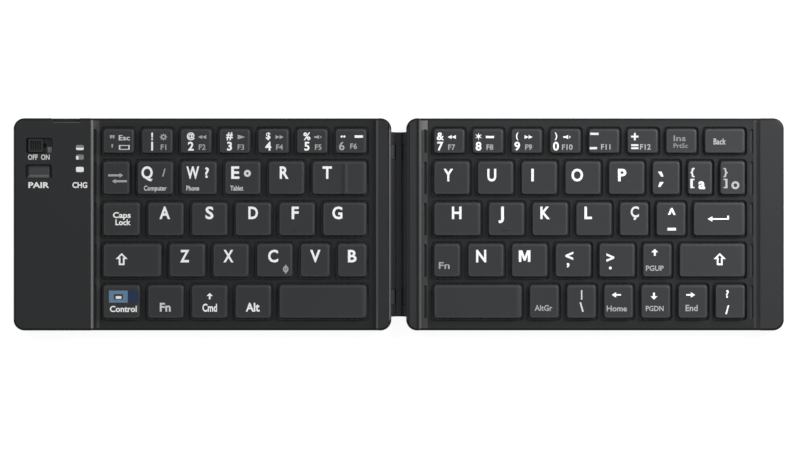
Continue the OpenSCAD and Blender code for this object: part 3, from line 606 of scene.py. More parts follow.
for side in ("left", "right"):
    half = side + "_half"
    part_finishes(shell(side + "_top_frame", half, "case", 0.18,
                        (TOP_CASES[side], EDGE_SHADE, DECKS[side], SLOT, SLOPE, LIP), rim=0.9))
    shell(side + "_bottom_case", half, "case", 0.15, (CASE, EDGE_SHADE), rim=0.7, up=-1)
    shell(side + "_feet", half, "rubber", 0.25, (FOOT, FOOT))
    for layer, finish in {"support_plate": PLATE, "membrane": MEMBRANE, "domes": DOME, "scissors": LINK,
                          "magnets": MAGNET}.items():
        dress(side + "_" + layer, finish)
shell("spine_base", "spine", "spine", 0.18, (SPINE, SPINE))
shell("spine_cover", "spine", "spine", 0.15, (COVER, COVER))
shell("power_switch", "power_switch", "control", 0.15, (CONTROL, EDGE_SHADE))
shell("indicator_lights", "left_half", "light_guide", 0.15, (GUIDE, GUIDE))
for node, finish in {"hinge_pins": STEEL, "flex_cable": FLEX, "main_board": BOARD, "battery": BATTERY,
                     "charge_port": PORT}.items():
    dress(node, finish)


# ---- Geometry Nodes trees ----

def new_tree(name, sizes, start=None):
    """The bench and the inputs of a tree with an input for each size and one for its finish."""
    tree = bpy.data.node_groups.new(name, "GeometryNodeTree")
    if start:
        tree.interface.new_socket(start, in_out="INPUT", socket_type="NodeSocketGeometry")
    for label, size in sizes.items():
        socket = tree.interface.new_socket(label, in_out="INPUT", socket_type="NodeSocketFloat")
        socket.default_value = size
    tree.interface.new_socket("Finish", in_out="INPUT", socket_type="NodeSocketMaterial")
    tree.interface.new_socket("Result", in_out="OUTPUT", socket_type="NodeSocketGeometry")
    bench = Bench(tree)
    return bench, bench.node("NodeGroupInput")


def ended(bench, shape, finish):
    """The tree, once its shape is realized, has its finish and goes out."""
    real = bench.node("GeometryNodeRealizeInstances", {"Geometry": shape})[0]
    done = bench.node("GeometryNodeSetMaterial", {"Geometry": real, "Material": finish})[0]
    bench.node("NodeGroupOutput", {0: done})
    return bench.tree


def picked(bench, number, columns):
    """From each column of values, the value of that number."""
    return [bench.node("GeometryNodeIndexSwitch", dict(enumerate((number, *column))), len(column),
                       data_type="FLOAT")[0] for column in columns]


def ring_grid(bench, rings, around):
    """A sheet of rings by corners, with each corner's ring and its step around that ring."""
    grid = bench.node("GeometryNodeMeshGrid", {
        "Size X": 1.0, "Size Y": 1.0, "Vertices X": rings, "Vertices Y": around + 1})["Mesh"]
    index = bench.node("GeometryNodeInputIndex")[0]
    return grid, (index / (around + 1)).floor(), (index % (around + 1)) % around


def at(bench, x=0.0, y=0.0, z=0.0):
    return bench.node("ShaderNodeCombineXYZ", {"X": x, "Y": y, "Z": z})[0]


def wrapped(bench, grid, spot):
    """A sheet moved to its spots and closed along its seam, with its faces outwards."""
    moved = bench.node("GeometryNodeSetPosition", {"Geometry": grid, "Position": spot})["Geometry"]
    closed = bench.node("GeometryNodeMergeByDistance", {"Geometry": moved, "Distance": 0.001 * MM})[0]
    return bench.node("GeometryNodeFlipFaces", {0: closed})[0]


def shaped(tree, start=None, **inputs):
    """The mesh that a tree gives for a starting mesh and these inputs, named as the tree names them."""
    thing = in_scene("work", start or bpy.data.meshes.new("work"))
    modifier = thing.modifiers.new("shape", "NODES")
    modifier.node_group = tree
    for item in tree.interface.items_tree:
        if item.item_type == "SOCKET" and item.in_out == "INPUT" and item.name in inputs:
            modifier[item.identifier] = inputs[item.name]
    return evaluated_mesh(thing)


# ---- Keycaps ----

KEY_NODES = [n for n in sorted(frame["nodes"]) if n.startswith("key_") or n.endswith("_keys")
             or n.endswith("_space_key")]
LEAN, EDGE, DISH = 0.4 * MM, 0.4 * MM, 0.09 * MM
CORNER_STEPS = 5
EDGE_STEPS = 4
# How far out each ring of the dish lies, as a share of the ring where the rounded edge ends
DISH_RINGS = (0.9, 0.72, 0.48, 0.24, 0.0)
SMALLEST_CORNER = 0.12 * MM
CREASE = math.radians(50)
HOMING_FROM_FRONT = 2.8 * MM
RIB_FROM_MIDDLE = 2.9 * MM


def loft_tree():
    """A tree that lofts a keycap from rounded rectangles, each ring told by its inset, scale and height."""
    sizes = {"Width": 14.9 * MM, "Depth": 13.9 * MM, "Rim": RIM, "Top": TOP, "Lean": LEAN,
             "Corner": 1.5 * MM, "Edge": EDGE, "Wall": 1.2 * MM, "Ceiling": TOP - 0.8 * MM, "Dish": DISH}
    bench, given = new_tree("keycap loft", sizes)
    rim, top, edge, lean = given["Rim"], given["Top"], given["Edge"], given["Lean"]
    # Each ring as (inset, scale, height), from under the top, round the rim and up to the dish
    rings = [(given["Wall"], 0.0, given["Ceiling"]), (given["Wall"], 1.0, given["Ceiling"]),
             (given["Wall"], 1.0, rim), (0.0, 1.0, rim), (lean * 0.04, 1.0, rim + 0.12 * MM)]
    first_of_edge = len(rings)
    for i in range(EDGE_STEPS + 1):
        turn = math.radians(90 * i / EDGE_STEPS)
        rings.append((lean + edge * (1 - math.cos(turn)), 1.0, top - edge * (1 - math.sin(turn))))
    last_of_edge = len(rings) - 1
    inner = lean + edge
    rings += [(inner, share, top - given["Dish"] * (1 - share * share)) for share in DISH_RINGS]
    grid, ring, step = ring_grid(bench, len(rings), 4 * (CORNER_STEPS + 1))
    # The edge attribute marks the rounded rim that takes the keycap's painted highlight
    on_edge = (ring > first_of_edge - 1.5) * (ring < last_of_edge + 0.5)
    marked = bench.node("GeometryNodeStoreNamedAttribute", {
        "Geometry": grid, "Name": "edge", "Value": on_edge}, data_type="FLOAT", domain="POINT")["Geometry"]
    corner = (step / (CORNER_STEPS + 1)).floor()
    angle = (corner + (step % (CORNER_STEPS + 1)) / CORNER_STEPS) * (math.pi / 2)
    middle = corner * (math.pi / 2) + math.pi / 4
    inset, scale, height = picked(bench, ring, zip(*rings))
    radius = (given["Corner"] - inset).largest(SMALLEST_CORNER)
    x = (given["Width"] / 2 - inset - radius) * middle.cos() * math.sqrt(2) + radius * angle.cos()
    y = (given["Depth"] / 2 - inset - radius) * middle.sin() * math.sqrt(2) + radius * angle.sin()
    outward = wrapped(bench, marked, at(bench, x * scale, y * scale, height))
    smooth = bench.node("GeometryNodeSetShadeSmooth", {"Geometry": outward}, domain="FACE")[0]
    turn = bench.node("GeometryNodeInputMeshEdgeAngle")[0]
    crisp = bench.node("GeometryNodeSetShadeSmooth", {
        "Geometry": smooth, "Selection": turn > CREASE, "Shade Smooth": False}, domain="EDGE")[0]
    return ended(bench, crisp, given["Finish"])


def islands(node):
    """Boxes of a CAD node's separate solids, from the back row to the front one and from left to right."""
    work = joined_copy(node)
    unseen, boxes = set(work.verts), []
    while unseen:
        queue, found = [unseen.pop()], []
        while queue:
            corner = queue.pop()
            found.append(corner.co.copy())
            for edge in corner.link_edges:
                other = edge.other_vert(corner)
                if other in unseen:
                    unseen.discard(other)
                    queue.append(other)
        boxes.append((Vector(map(min, *found)), Vector(map(max, *found))))
    work.free()
    return sorted(boxes, key=lambda b: (-round((b[0].y + b[1].y) / MM / 4), b[0].x))


class Key:
    """Where a keycap stands, the size of its rim, and whether it has a homing bar."""

    def __init__(self, low, high):
        self.middle = (low + high) / 2
        self.width, self.depth = high.x - low.x, high.y - low.y
        self.homing = high.z > TOP + 0.05 * MM


def add_mesh(work, mesh, offset, finish=0):
    """Adds a mesh to a bmesh, moved by offset, with the finish of that number."""
    corners, faces = len(work.verts), len(work.faces)
    work.from_mesh(mesh)
    work.verts.ensure_lookup_table()
    work.faces.ensure_lookup_table()
    bmesh.ops.translate(work, verts=work.verts[corners:], vec=offset)
    for face in work.faces[faces:]:
        face.material_index = finish
    bpy.data.meshes.remove(mesh)


def block(width, depth, base, top, corner, edge, wall, ceiling, finish=KEYCAP, lean=0.02 * MM):
    """A small block with rounded corners and a flat top, lofted as a keycap is."""
    return shaped(LOFT, Width=width, Depth=depth, Rim=base, Top=top, Lean=lean, Corner=corner, Edge=edge,
                  Wall=wall, Ceiling=ceiling, Dish=0.0, Finish=finish)


def homing_bar():
    """The small raised bar that a finger finds."""
    return block(3.2 * MM, 0.6 * MM, TOP - 0.12 * MM, TOP + 0.12 * MM, 0.3 * MM, 0.1 * MM, 0.2 * MM,
                 TOP - 0.1 * MM)


def highlighted_rib(depth):
    """The low rib across the widest letter key, in a lighter finish that is a painted highlight."""
    return block(1.1 * MM, depth - 1.9 * MM, TOP - 0.2 * MM, TOP + 0.05 * MM, 0.4 * MM, 0.12 * MM, 0.2 * MM,
                 TOP - 0.18 * MM, RIB)


def keycaps(node):
    """The caps of one node's keys, as one piece."""
    caps, finishes = bmesh.new(), [KEYCAP]
    for key in KEYS[node]:
        spot = Vector((key.middle.x, key.middle.y, 0))
        add_mesh(caps, shaped(LOFT, Width=key.width, Depth=key.depth, Finish=KEYCAP), spot)
        if key.homing:
            add_mesh(caps, homing_bar(), spot - Vector((0, key.depth / 2 - HOMING_FROM_FRONT, 0)))
        if node == "key_t":
            finishes = [KEYCAP, RIB]
            add_mesh(caps, highlighted_rib(key.depth), spot + Vector((RIB_FROM_MIDDLE, 0, 0)), 1)
    new_piece(node + "_cap", mesh_of(caps, node), frame["nodes"][node]["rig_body"], finishes, [node])


LOFT = loft_tree()
KEYS = {node: [Key(*box) for box in islands(node)] for node in KEY_NODES}
for node in KEY_NODES:
    keycaps(node)


# ---- Screws and the button ----

AROUND_A_SCREW = 24
# From the pairing button's top down to its foot, its flange's two faces and its plunger's upper end
BUTTON_FOOT, FLANGE_TOP, FLANGE_BASE, PLUNGER_TOP = 0.85 * MM, 0.86 * MM, 1.45 * MM, 1.3 * MM
FLANGE = 0.6 * MM
BUTTON_LEAN = 1.15 * MM
PLUNGER_WIDTH = 2 * MM
# How far down the button's front slope its painted highlight reaches
HIGHLIGHT_DEPTH = 0.84 * MM


def screw_tree():
    """A tree that turns a screw, cuts a cross in its head and sets one at each given point."""
    sizes = {"Head Width": 2.6 * MM, "Head Height": 0.7 * MM, "Shank Width": 1.4 * MM, "Length": 4.7 * MM,
             "Slot Width": 0.5 * MM, "Slot Length": 1.8 * MM, "Slot Depth": 0.35 * MM}
    bench, given = new_tree("screws", sizes, "Places")
    head, shank = given["Head Width"] / 2, given["Shank Width"] / 2
    height, length = given["Head Height"], given["Length"]
    # The outline as (radius, height) from the middle of the head's face to the tip
    outline = [(0.0, 0.0), (head * 0.72, 0.0), (head * 0.9, height * 0.08), (head, height * 0.3),
               (head, height), (shank, height), (shank, length * 0.9), (shank * 0.45, length), (0.0, length)]
    grid, row, step = ring_grid(bench, len(outline), AROUND_A_SCREW)
    turn = step * (2 * math.pi / AROUND_A_SCREW)
    radius, level = picked(bench, row, zip(*outline))
    turned = wrapped(bench, grid, at(bench, radius * turn.cos(), radius * turn.sin(), level))
    long, wide, deep = given["Slot Length"], given["Slot Width"], given["Slot Depth"] * 2
    arms = [bench.node("GeometryNodeMeshCube", {"Size": at(bench, x, y, deep)})["Mesh"]
            for x, y in ((long, wide), (wide, long))]
    for arm in arms:
        turned = bench.node("GeometryNodeMeshBoolean", {0: turned, 1: arm}, operation="DIFFERENCE",
                            solver="EXACT")["Mesh"]
    spin = bench.node("FunctionNodeRandomValue", {2: 0.0, 3: math.pi, "Seed": 4}, data_type="FLOAT")[1]
    placed = bench.node("GeometryNodeInstanceOnPoints", {
        "Points": given["Places"], "Instance": turned, "Rotation": at(bench, z=spin)})[0]
    return ended(bench, placed, given["Finish"])


def screws(side):
    """A half's screws, each as long as the CAD's screw in its place."""
    boxes = islands(side + "_screws")
    made = bmesh.new()
    for tip in sorted({round(high.z / MM, 2) for _, high in boxes}):
        spots = bpy.data.meshes.new("spots")
        spots.from_pydata([((low.x + high.x) / 2, (low.y + high.y) / 2, low.z) for low, high in boxes
                           if round(high.z / MM, 2) == tip], [], [])
        add_mesh(made, shaped(SCREWS, spots, Length=tip * MM - boxes[0][0].z, Finish=STEEL), Vector())
    new_piece(side + "_screws_finish", mesh_of(made, side + "_screws"), side + "_half", [STEEL],
              [side + "_screws"])


def pair_button():
    """The pairing button: a sloping cap, the flange that keeps it in and the plunger under it."""
    low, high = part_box("pair_button")
    middle = Vector(((low.x + high.x) / 2, (low.y + high.y) / 2, 0))
    width, depth = high.x - low.x, high.y - low.y
    foot, flange = high.z - BUTTON_FOOT, high.z - FLANGE_BASE
    button = bmesh.new()
    add_mesh(button, block(width - 2 * FLANGE, depth - 2 * FLANGE, foot, high.z, 0.7 * MM, 0.12 * MM,
                           1.4 * MM, foot + 0.1 * MM, BUTTON, BUTTON_LEAN), middle)
    add_mesh(button, block(width, depth, flange, high.z - FLANGE_TOP, 0.7 * MM, 0.1 * MM, 1.4 * MM,
                           flange + 0.1 * MM, BUTTON), middle)
    add_mesh(button, block(PLUNGER_WIDTH, PLUNGER_WIDTH, low.z, high.z - PLUNGER_TOP, 1.0 * MM, 0.1 * MM,
                           0.5 * MM, low.z + 0.1 * MM, BUTTON), middle)
    mesh = mesh_of(button, "pair_button")
    # The upper faces of the front slope take the pale finish, a painted highlight
    for face in mesh.polygons:
        if face.normal.z > 0.2 and face.normal.y < -0.35 and face.center.z > high.z - HIGHLIGHT_DEPTH:
            face.material_index = 1
    new_piece("pair_button_finish", mesh, "pair_button", [BUTTON, BUTTON_FRONT_HIGHLIGHT], ["pair_button"])


SCREWS = screw_tree()
for side in ("left", "right"):
    screws(side)
pair_button()


# ---- Print ----

INK_THICKNESS = 0.03 * MM
# Half the thickness of a letter or shape before it is scaled to the ink's, in the shape's own units
HALF_PLATE = 0.01
# How far letters are thickened
BOLD, PLAIN = 0.028, 0.018


def glyphs(text, weight):
    """A thin closed mesh of text in the built-in letters."""
    curve = bpy.data.curves.new("text", "FONT")
    curve.body, curve.extrude, curve.offset, curve.resolution_u = text, HALF_PLATE, weight, 3
    mesh = evaluated_mesh(in_scene("work", curve))
    bpy.data.curves.remove(curve)
    return mesh


def plate_shape(outline):
    """A thin closed mesh of one outline."""
    work = bmesh.new()
    low, high = [[work.verts.new((x, y, z)) for x, y in outline] for z in (-HALF_PLATE, HALF_PLATE)]
    work.faces.new(low)
    work.faces.new(high)
    for i in range(len(outline)):
        work.faces.new((low[i - 1], low[i], high[i], high[i - 1]))
    bmesh.ops.recalc_face_normals(work, faces=work.faces)
    return mesh_of(work, "shape")


def ring_shape(outer, inner):
    """A thin closed frame between two outlines of as many corners."""
    work = bmesh.new()
    count = len(outer)
    rows = [[work.verts.new((x, y, z)) for x, y in line] for line, z in
            ((outer, -HALF_PLATE), (outer, HALF_PLATE), (inner, HALF_PLATE), (inner, -HALF_PLATE))]
    for row, following in zip(rows, rows[1:] + rows[:1]):
        for i in range(count):
            work.faces.new((row[i], row[(i + 1) % count], following[(i + 1) % count], following[i]))
    bmesh.ops.recalc_face_normals(work, faces=work.faces)
    return mesh_of(work, "ring")


def box_outline(x0, y0, x1, y1):
    return [(x0, y0), (x1, y0), (x1, y1), (x0, y1)]


def turned_outline(points, turn):
    """An outline turned by quarter turns."""
    for _ in range(turn):
        points = [(-y, x) for x, y in points]
    return points


def arrow_outline(turn):
    """An arrow that points up, turned by quarter turns."""
    return turned_outline([(-0.14, -0.5), (0.14, -0.5), (0.14, 0.02), (0.5, 0.02), (0, 0.5), (-0.5, 0.02),
                           (-0.14, 0.02)], turn)


def star_outline(points, outer, inner):
    turns = [math.pi * i / points for i in range(2 * points)]
    return [(r * math.sin(-a), r * math.cos(a)) for a, r in zip(turns, [outer, inner] * points)]


def round_outline(radius):
    return star_outline(8, radius, radius)


TAB_ARROW = [(-0.5, 0.14), (0.1, 0.14), (0.1, 0.04), (0.3, 0.22), (0.1, 0.4), (0.1, 0.3), (-0.5, 0.3)]
# Shapes that stand for no letter, each as outlines in a unit square: (outer, inner) makes a frame
SHAPES = {
    "up": [arrow_outline(0)],
    "left": [arrow_outline(1)],
    "down": [arrow_outline(2)],
    "right": [arrow_outline(3)],
    "shift": [([(-0.24, -0.5), (0.24, -0.5), (0.24, 0), (0.5, 0), (0, 0.5), (-0.5, 0), (-0.24, 0)],
               [(-0.1, -0.36), (0.1, -0.36), (0.1, 0.12), (0.2, 0.12), (0, 0.32), (-0.2, 0.12),
                (-0.1, 0.12)])],
    "enter": [[(-0.5, -0.02), (-0.28, -0.32), (-0.28, -0.1), (0.5, -0.1), (0.5, 0.36), (0.42, 0.36),
               (0.42, 0.06), (-0.28, 0.06), (-0.28, 0.28)]],
    "tab": [TAB_ARROW, turned_outline(TAB_ARROW, 2)],
    "play": [turned_outline([(-0.5, -0.4), (0.5, -0.4), (0, 0.5)], 3)],
    "rewind": [[(0, -0.4), (0, 0.4), (-0.5, 0)], [(0.5, -0.4), (0.5, 0.4), (0, 0)]],
    "forward": [[(-0.5, -0.4), (0, 0), (-0.5, 0.4)], [(0, -0.4), (0.5, 0), (0, 0.4)]],
    "speaker": [[(-0.5, -0.16), (-0.2, -0.16), (0.1, -0.42), (0.1, 0.42), (-0.2, 0.16), (-0.5, 0.16)],
                box_outline(0.26, -0.2, 0.36, 0.2)],
    "minus": [box_outline(-0.5, -0.14, 0.5, 0.14)],
    "sun": [(star_outline(8, 0.5, 0.3), round_outline(0.16))],
    "star": [star_outline(6, 0.5, 0.16)],
    "cent": [(round_outline(0.38), round_outline(0.18)), box_outline(-0.08, -0.5, 0.08, 0.5)],
    "bracket": [[(0.5, 0.5), (-0.5, 0.5), (-0.5, -0.5), (0.5, -0.5), (0.5, -0.36), (0.1, -0.36),
                 (0.1, 0.36), (0.5, 0.36)]],
    "frame": [(box_outline(-0.5, -0.4, 0.5, 0.4), box_outline(-0.36, -0.26, 0.36, 0.26))],
    "patch": [box_outline(-0.5, -0.5, 0.5, 0.5)],
    "window": [(box_outline(-0.5, -0.5, 0.5, 0.5), box_outline(-0.24, -0.24, 0.24, 0.2))],
    "screen": [box_outline(-0.14, -0.18, 0.16, 0.04)],
    "heavy m": [[(-0.5, -0.5), (-0.28, -0.5), (-0.28, 0.14), (-0.08, -0.4), (0.08, -0.4), (0.28, 0.14),
                 (0.28, -0.5), (0.5, -0.5), (0.5, 0.5), (0.2, 0.5), (0, -0.08), (-0.2, 0.5), (-0.5, 0.5)]],
}


def ends(mesh):
    """The lowest and highest corners of a mesh's box."""
    spots = [v.co for v in mesh.vertices]
    return Vector(map(min, *spots)), Vector(map(max, *spots))


CAPITAL = ends(glyphs("H", 0))[1].y


def lettered(text, x, y, height, width, weight):
    """Letters about x, y whose capitals stand height tall; a sign that is no letter is fitted whole."""
    mesh = glyphs(text, weight)
    low, high = ends(mesh)
    size = high - low
    whole = not any(c.isalnum() for c in text)
    tall = height / (size.y if whole else CAPITAL)
    wide = width / size.x if width else tall
    centre = ((low.x + high.x) / 2, (low.y + high.y) / 2 if whole else CAPITAL / 2, 0)
    mesh.transform(Matrix.Translation((x, y, 0)) @ Matrix.Diagonal((wide, tall, INK_THICKNESS / size.z, 1))
                   @ Matrix.Translation(-Vector(centre)))
    return mesh


def mark_meshes(what, x, y, height, width, weight):
    """The meshes of one mark: letters, or a shape by its name after a colon."""
    if not what.startswith(":"):
        return [lettered(what, x, y, height, width, weight)]
    size = (width or height, height, INK_THICKNESS / (2 * HALF_PLATE), 1)
    fitted = Matrix.Translation((x, y, 0)) @ Matrix.Diagonal(size)
    meshes = []
    for outline in SHAPES[what[1:]]:
        mesh = ring_shape(*outline) if isinstance(outline, tuple) else plate_shape(outline)
        mesh.transform(fitted)
        meshes.append(mesh)
    return meshes


def add_mark(work, colours, what, x, y, height, ink="white", width=None, weight=BOLD):
    """Adds a mark to a bmesh at x and y millimetres, in an ink that colours keeps the number of."""
    if ink not in colours:
        colours.append(ink)
    for mesh in mark_meshes(what, x * MM, y * MM, height * MM, width and width * MM, weight):
        add_mesh(work, mesh, Vector(), colours.index(ink))


def small(text, x, y, height=2.0, width=None, ink="grey"):
    return (text, x, y, height, ink, width, PLAIN)


def number_key(above, below, function, icon, x=-2.0, ink="grey", icon_height=2.0):
    """Marks of a number key: a sign over a digit, and beside them an icon over a function label."""
    return [(above, x, 2.0, 3.2), (below, x, -2.0, 3.3), (icon, x + 4.6, 1.7, icon_height, ink, 3.3),
            small(function, x + 4.6, -2.4, 2.1)]


LETTER_HEIGHT = 4.7
# How far behind its key's middle each row's letters stand
ROW_HEIGHTS = {"QWERT": 2.2, "YUIOP": 1.2, "ASDFGHJKL": 2.6, "ZXCVBNM": 1.8}
# Each letter's place right of its key's middle, and its width
LETTERS = {
    "Q": (-3.2, 4.6), "W": (-2.4, 5.2), "E": (-2.9, 3.3), "R": (-0.8, 3.6), "T": (-4.8, 3.8),
    "Y": (-1.3, 3.9), "U": (-1.4, 3.6), "I": (-2.6, 1.0), "O": (-2.2, 4.7), "P": (-1.7, 3.4),
    "A": (-0.3, 4.3), "S": (0.1, 3.3), "D": (0.1, 3.9), "F": (-0.6, 2.9), "G": (-2.8, 4.1),
    "H": (-0.1, 3.9), "J": (-2.0, 2.2), "K": (-1.9, 3.9), "L": (-2.2, 3.0),
    "Z": (-0.9, 3.7), "X": (-0.9, 4.1), "C": (-0.5, 4.1), "V": (0.2, 4.2), "B": (0.2, 3.5),
    "N": (-1.8, 4.1), "M": (-1.9, 4.7),
}
# Marks of every key, by node and in the order of its keys: (mark, x, y, height, ink, width, weight)
MARKS = {}
for row, y in ROW_HEIGHTS.items():
    for letter in row:
        x, width = LETTERS[letter]
        what = ":heavy m" if letter == "M" else letter
        MARKS["key_" + letter.lower()] = [[(what, x, y, LETTER_HEIGHT, "white", width)]]
MARKS["key_q"][0] += [("/", 3.6, 2.2, 3.2, "grey"), small("Computer", 0.1, -4.1, 1.9, 9.2, "light")]
MARKS["key_w"][0] += [("?", 3.3, 2.2, 4.4), small("Phone", -2.4, -4.1, 1.9, 5.2, "light")]
MARKS["key_e"][0] += [("°", 2.0, 1.9, 2.9, "light"), small("Tablet", -2.3, -4.1, 1.9, 5.2, "light")]
MARKS["key_c"][0] += [(":cent", 4.6, -3.5, 3.6, "grey", 3.0)]
MARKS.update({
    "left_number_keys": [
        [('"', -2.5, 1.8, 1.3, "grey", 1.9), small("Esc", 2.4, 1.4, 2.0, 4.5, "light"),
         ("'", -2.5, -1.9, 1.4, "grey"), (":frame", 2.4, -2.5, 2.4, "light", 4.4)],
        number_key("!", "1", "F1", ":sun", icon_height=3.0), number_key("@", "2", "F2", ":rewind"),
        number_key("#", "3", "F3", ":play"), number_key("$", "4", "F4", ":forward"),
        number_key("%", "5", "F5", ":speaker"),
        [("\u00a8", -3.1, 1.9, 0.9), (":minus", 3.3, 1.9, 3.6, "white", 3.4), small("6", -3.6, -1.9, 3.3),
         small("F6", 1.2, -2.0, 2.1)]],
    "left_control_keys": [
        [(":tab", 0.6, -0.1, 5.4, "grey", 7.6)],
        [("Caps", 0.2, 1.7, 2.2, "white", 7.2), ("Lock", 0.7, -1.2, 2.2, "white", 6.2)],
        [(":shift", -4.2, 0.6, 4.9, "white", 4.9)],
        [(":window", -1.2, 2.1, 4.9, "sky", 7.6), (":screen", -1.2, 2.1, 4.9, "white", 7.6),
         (":patch", 4.83, 2.1, 4.9, "blue", 4.4), ("Control", 0.8, -2.9, 2.3, "white", 10.9)],
        [("Fn", -0.1, -2.2, 3.3, "light", 4.4)],
        [(":up", 0.2, 2.3, 2.6), ("Cmd", 0.2, -2.4, 3.0, "white", 5.9)],
        [("Alt", -0.1, -2.2, 3.3, "white", 5.6)]],
    "right_number_keys": [
        number_key("&", "7", "F7", ":rewind", -3.5, "white"),
        number_key(":star", "8", "F8", ":minus", -3.7, "white", 3.4),
        number_key("(", "9", "F9", ":forward", -3.7, "white"),
        number_key(")", "0", "F10", ":speaker", -3.7, "white"),
        [(":minus", -3.8, 3.0, 3.4, "light", 3.4), (":minus", -4.2, -2.8, 3.4, "light", 3.0),
         small("F11", 0.8, -2.3, 2.1)],
        [("+", -3.1, 1.9, 3.0, "light"), ("=", -3.1, -2.2, 2.0, "light"), small("F12", 1.2, -2.3, 2.1)],
        [small("Ins", -0.6, 1.2, 2.2, 4.9, "dim"), small("PrtSc", -0.2, -1.8, 1.7, 5.8, "dim")],
        [small("Back", -2.0, -0.1, 2.3, 5.0)]],
    "right_control_keys": [
        [("`", -2.1, 1.6, 2.0, "white", 2.2), ("\u00b4", -2.1, -2.6, 2.0, "white", 2.2)],
        [("{", -3.0, 2.2, 3.8, "light", 1.7), (":bracket", -3.0, -2.2, 3.8, "light", 1.7),
         ("a", 0.8, -2.2, 4.2)],
        [("}", -2.8, 2.2, 3.8, "grey", 1.7), ("]", -2.8, -2.2, 3.8, "grey", 1.6),
         ("o", 1.2, -2.2, 4.2, "grey")],
        [("\u00c7", 0.4, 3.0, 4.1, "light", 3.4)],
        [("^", 0.4, 3.2, 2.8), (":minus", 0.4, -4.0, 3.8, "white", 3.4)],
        [(":enter", -0.3, 0.2, 3.6, "white", 8.6)],
        [small("Fn", -1.0, -2.0, 2.6, 4.4)],
        [("<", -1.5, 1.9, 3.4), (",", -2.0, -1.9, 1.9)],
        [(">", -2.6, 1.2, 3.4), (".", -2.6, -3.0, 1.2)],
        [(":up", -0.9, 3.3, 2.8), small("PGUP", -0.9, -3.1, 2.0, 7.2)],
        [(":shift", 3.1, 0.6, 4.9, "white", 4.9)],
        [small("AltGr", -0.2, -2.5, 2.2, 7.2)],
        [("|", 0.2, 2.8, 3.8, "light"), ("\\", 0.2, -2.1, 3.8, "light")],
        [(":left", -0.8, 2.8, 2.2, "white", 3.8), small("Home", -0.6, -2.7, 2.2, 8.2)],
        [(":down", -0.6, 2.3, 2.8), small("PGDN", -0.3, -2.7, 2.0, 7.2)],
        [(":right", -0.8, 2.8, 2.2, "white", 3.6), small("End", -0.4, -2.5, 2.4, 4.9)],
        [("?", -1.1, 3.2, 3.2), ("/", -1.1, -3.2, 3.6)]],
})

# Marks of the left bar, told from the middle of the part: beside the controls; and a painted highlight on the
# switch's floor
BAR_MARKS = [("OFF  ON", -145.7, 27.2, 2.0, "light", 8.8), ("PAIR", -145.7, 15.9, 2.2, "white", 8.4),
             ("CHG", -129.1, 15.9, 2.2, "white", 6.0)]
# A grey patch at the lower right of the switch's pocket floor, a painted highlight
POCKET_HIGHLIGHT = (":patch", -141.4, 30.2, 2.3, "dim", 1.7)
POCKET_DEPTH = 1.2 * MM
# How far in from a keycap's rim the print takes its dish to start
DISH_INSET = 0.9 * MM
# Corners of a print closer than this are one corner
PRINT_JOINED = 0.0002 * MM


def dish_height(key, x, y):
    """Height of a keycap's dished top at a place told from its middle."""
    reach = max(abs(x) / (key.width / 2 - DISH_INSET), abs(y) / (key.depth / 2 - DISH_INSET))
    return TOP - DISH * (1 - min(1.0, reach) ** 2)


def print_piece(name, work, colours, body):
    """A print's bmesh as a piece in its inks."""
    bmesh.ops.remove_doubles(work, verts=work.verts, dist=PRINT_JOINED)
    new_piece(name, mesh_of(work, name), body, [INKS[c] for c in colours])


def key_print(node):
    """The marks of one node's keys, each laid on its key's dish."""
    work, colours = bmesh.new(), []
    for key, marks in zip(KEYS[node], MARKS[node]):
        first = len(work.verts)
        for mark in marks:
            add_mark(work, colours, *mark)
        work.verts.ensure_lookup_table()
        for corner in work.verts[first:]:
            x, y, z = corner.co
            corner.co = (key.middle.x + x, key.middle.y + y, dish_height(key, x, y) + z + INK_THICKNESS / 2)
    print_piece(node + "_print", work, colours, frame["nodes"][node]["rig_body"])


def bar_print():
    """The marks of the left bar, and the painted highlight on the floor of the switch's pocket."""
    work, colours = bmesh.new(), []
    bar_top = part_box("left_top_frame")[1].z + INK_THICKNESS / 4
    for mark in BAR_MARKS:
        add_mark(work, colours, *mark)
    on_bar = len(work.verts)
    add_mark(work, colours, *POCKET_HIGHLIGHT)
    work.verts.ensure_lookup_table()
    bmesh.ops.translate(work, verts=work.verts[:on_bar], vec=(0, 0, bar_top))
    bmesh.ops.translate(work, verts=work.verts[on_bar:], vec=(0, 0, bar_top - POCKET_DEPTH))
    print_piece("left_bar_print", work, colours, "left_half")


for node in MARKS:
    key_print(node)
bar_print()


# ---- Floor, light and camera ----

# How far the floor reaches each way, in metres, and how strong its own glow is beside what it scatters
FLOOR_REACH, FLOOR_GLOW = 4, 0.9
# How strongly the surroundings light the object; what the camera sees of them is white
WORLD_LEVEL = 0.35
# The camera's place along X and Y, and the width it sees at the height of the part's top
CAMERA_PLACE, FRAME_WIDTH = (0.0005, -0.00026), 0.3238


def seen_directly(bench):
    """1 for what the camera sees, also through glass or in a mirror, and 0 for what lights the object."""
    ray = bench.node("ShaderNodeLightPath")
    return (ray["Is Camera Ray"] + ray["Is Glossy Ray"] + ray["Is Transmission Ray"]).kept_in()


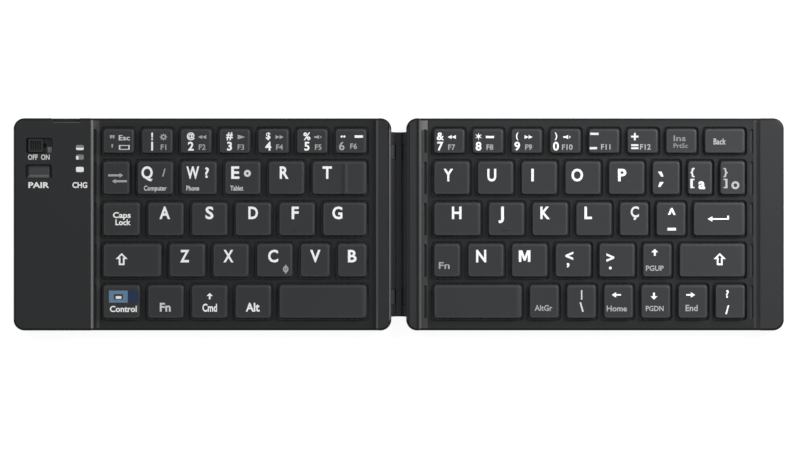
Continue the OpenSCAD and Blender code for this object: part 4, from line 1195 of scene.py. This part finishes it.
def floor_material():
    """Pale floor that looks white and keeps the object's shadow."""
    material, bench = blank_material("floor")
    grain = noise(bench, 30, 3.0)
    plain = bench.node("ShaderNodeBsdfPrincipled", {
        "Base Color": mixed(bench, grain, srgb(224), srgb(230)), "Roughness": 0.8})["BSDF"]
    diffuse = bench.node("ShaderNodeBsdfDiffuse", {"Color": (0.26, 0.26, 0.26, 1)})[0]
    glow = bench.node("ShaderNodeEmission", {"Color": (1, 1, 1, 1), "Strength": FLOOR_GLOW})[0]
    white = bench.node("ShaderNodeAddShader", {0: diffuse, 1: glow})[0]
    shader = bench.node("ShaderNodeMixShader", {0: seen_directly(bench), 1: plain, 2: white})[0]
    surface_output(bench, shader)
    return material


def soft_box(name, place, target, size, power):
    """A square lamp that looks from its place at its target, in metres and watts."""
    lamp = bpy.data.lights.new(name, "AREA")
    lamp.shape, lamp.size, lamp.size_y, lamp.energy = "RECTANGLE", size, size, power
    thing = in_scene(name, lamp)
    thing.location = place
    thing.rotation_euler = (Vector(target) - Vector(place)).to_track_quat("-Z", "Y").to_euler()


floor_mesh = bpy.data.meshes.new("floor")
floor_mesh.from_pydata([(x * FLOOR_REACH, y * FLOOR_REACH, 0) for x, y in box_outline(-1, -1, 1, 1)], [],
                       [(0, 1, 2, 3)])
floor_mesh.materials.append(floor_material())
floor = in_scene("floor", floor_mesh)

world = bpy.data.worlds.new("studio")
bpy.context.scene.world = world
world.use_nodes = True
world.node_tree.nodes.clear()
sky = Bench(world.node_tree)
strength = WORLD_LEVEL + seen_directly(sky) * (1 - WORLD_LEVEL)
sky.node("ShaderNodeOutputWorld", {"Surface": sky.node("ShaderNodeBackground", {
    "Color": (1, 1, 1, 1), "Strength": strength})[0]})

soft_box("right soft box", (0.34, 0.20, 0.20), (0.08, 0, 0), 0.24, 2.8)
soft_box("left soft box", (-0.42, 0.26, 0.34), (-0.08, 0, 0), 0.3, 0.6)

camera_data = bpy.data.cameras.new("camera")
camera_data.type, camera_data.lens, camera_data.sensor_width = "PERSP", 150, 36
camera_data.clip_end = 100
camera = in_scene("camera", camera_data)
above = FRAME_WIDTH * camera_data.lens / camera_data.sensor_width
camera.location = (*CAMERA_PLACE, cad_box[1].z + above)
bpy.context.scene.camera = camera
bpy.context.scene.view_settings.view_transform = "Standard"
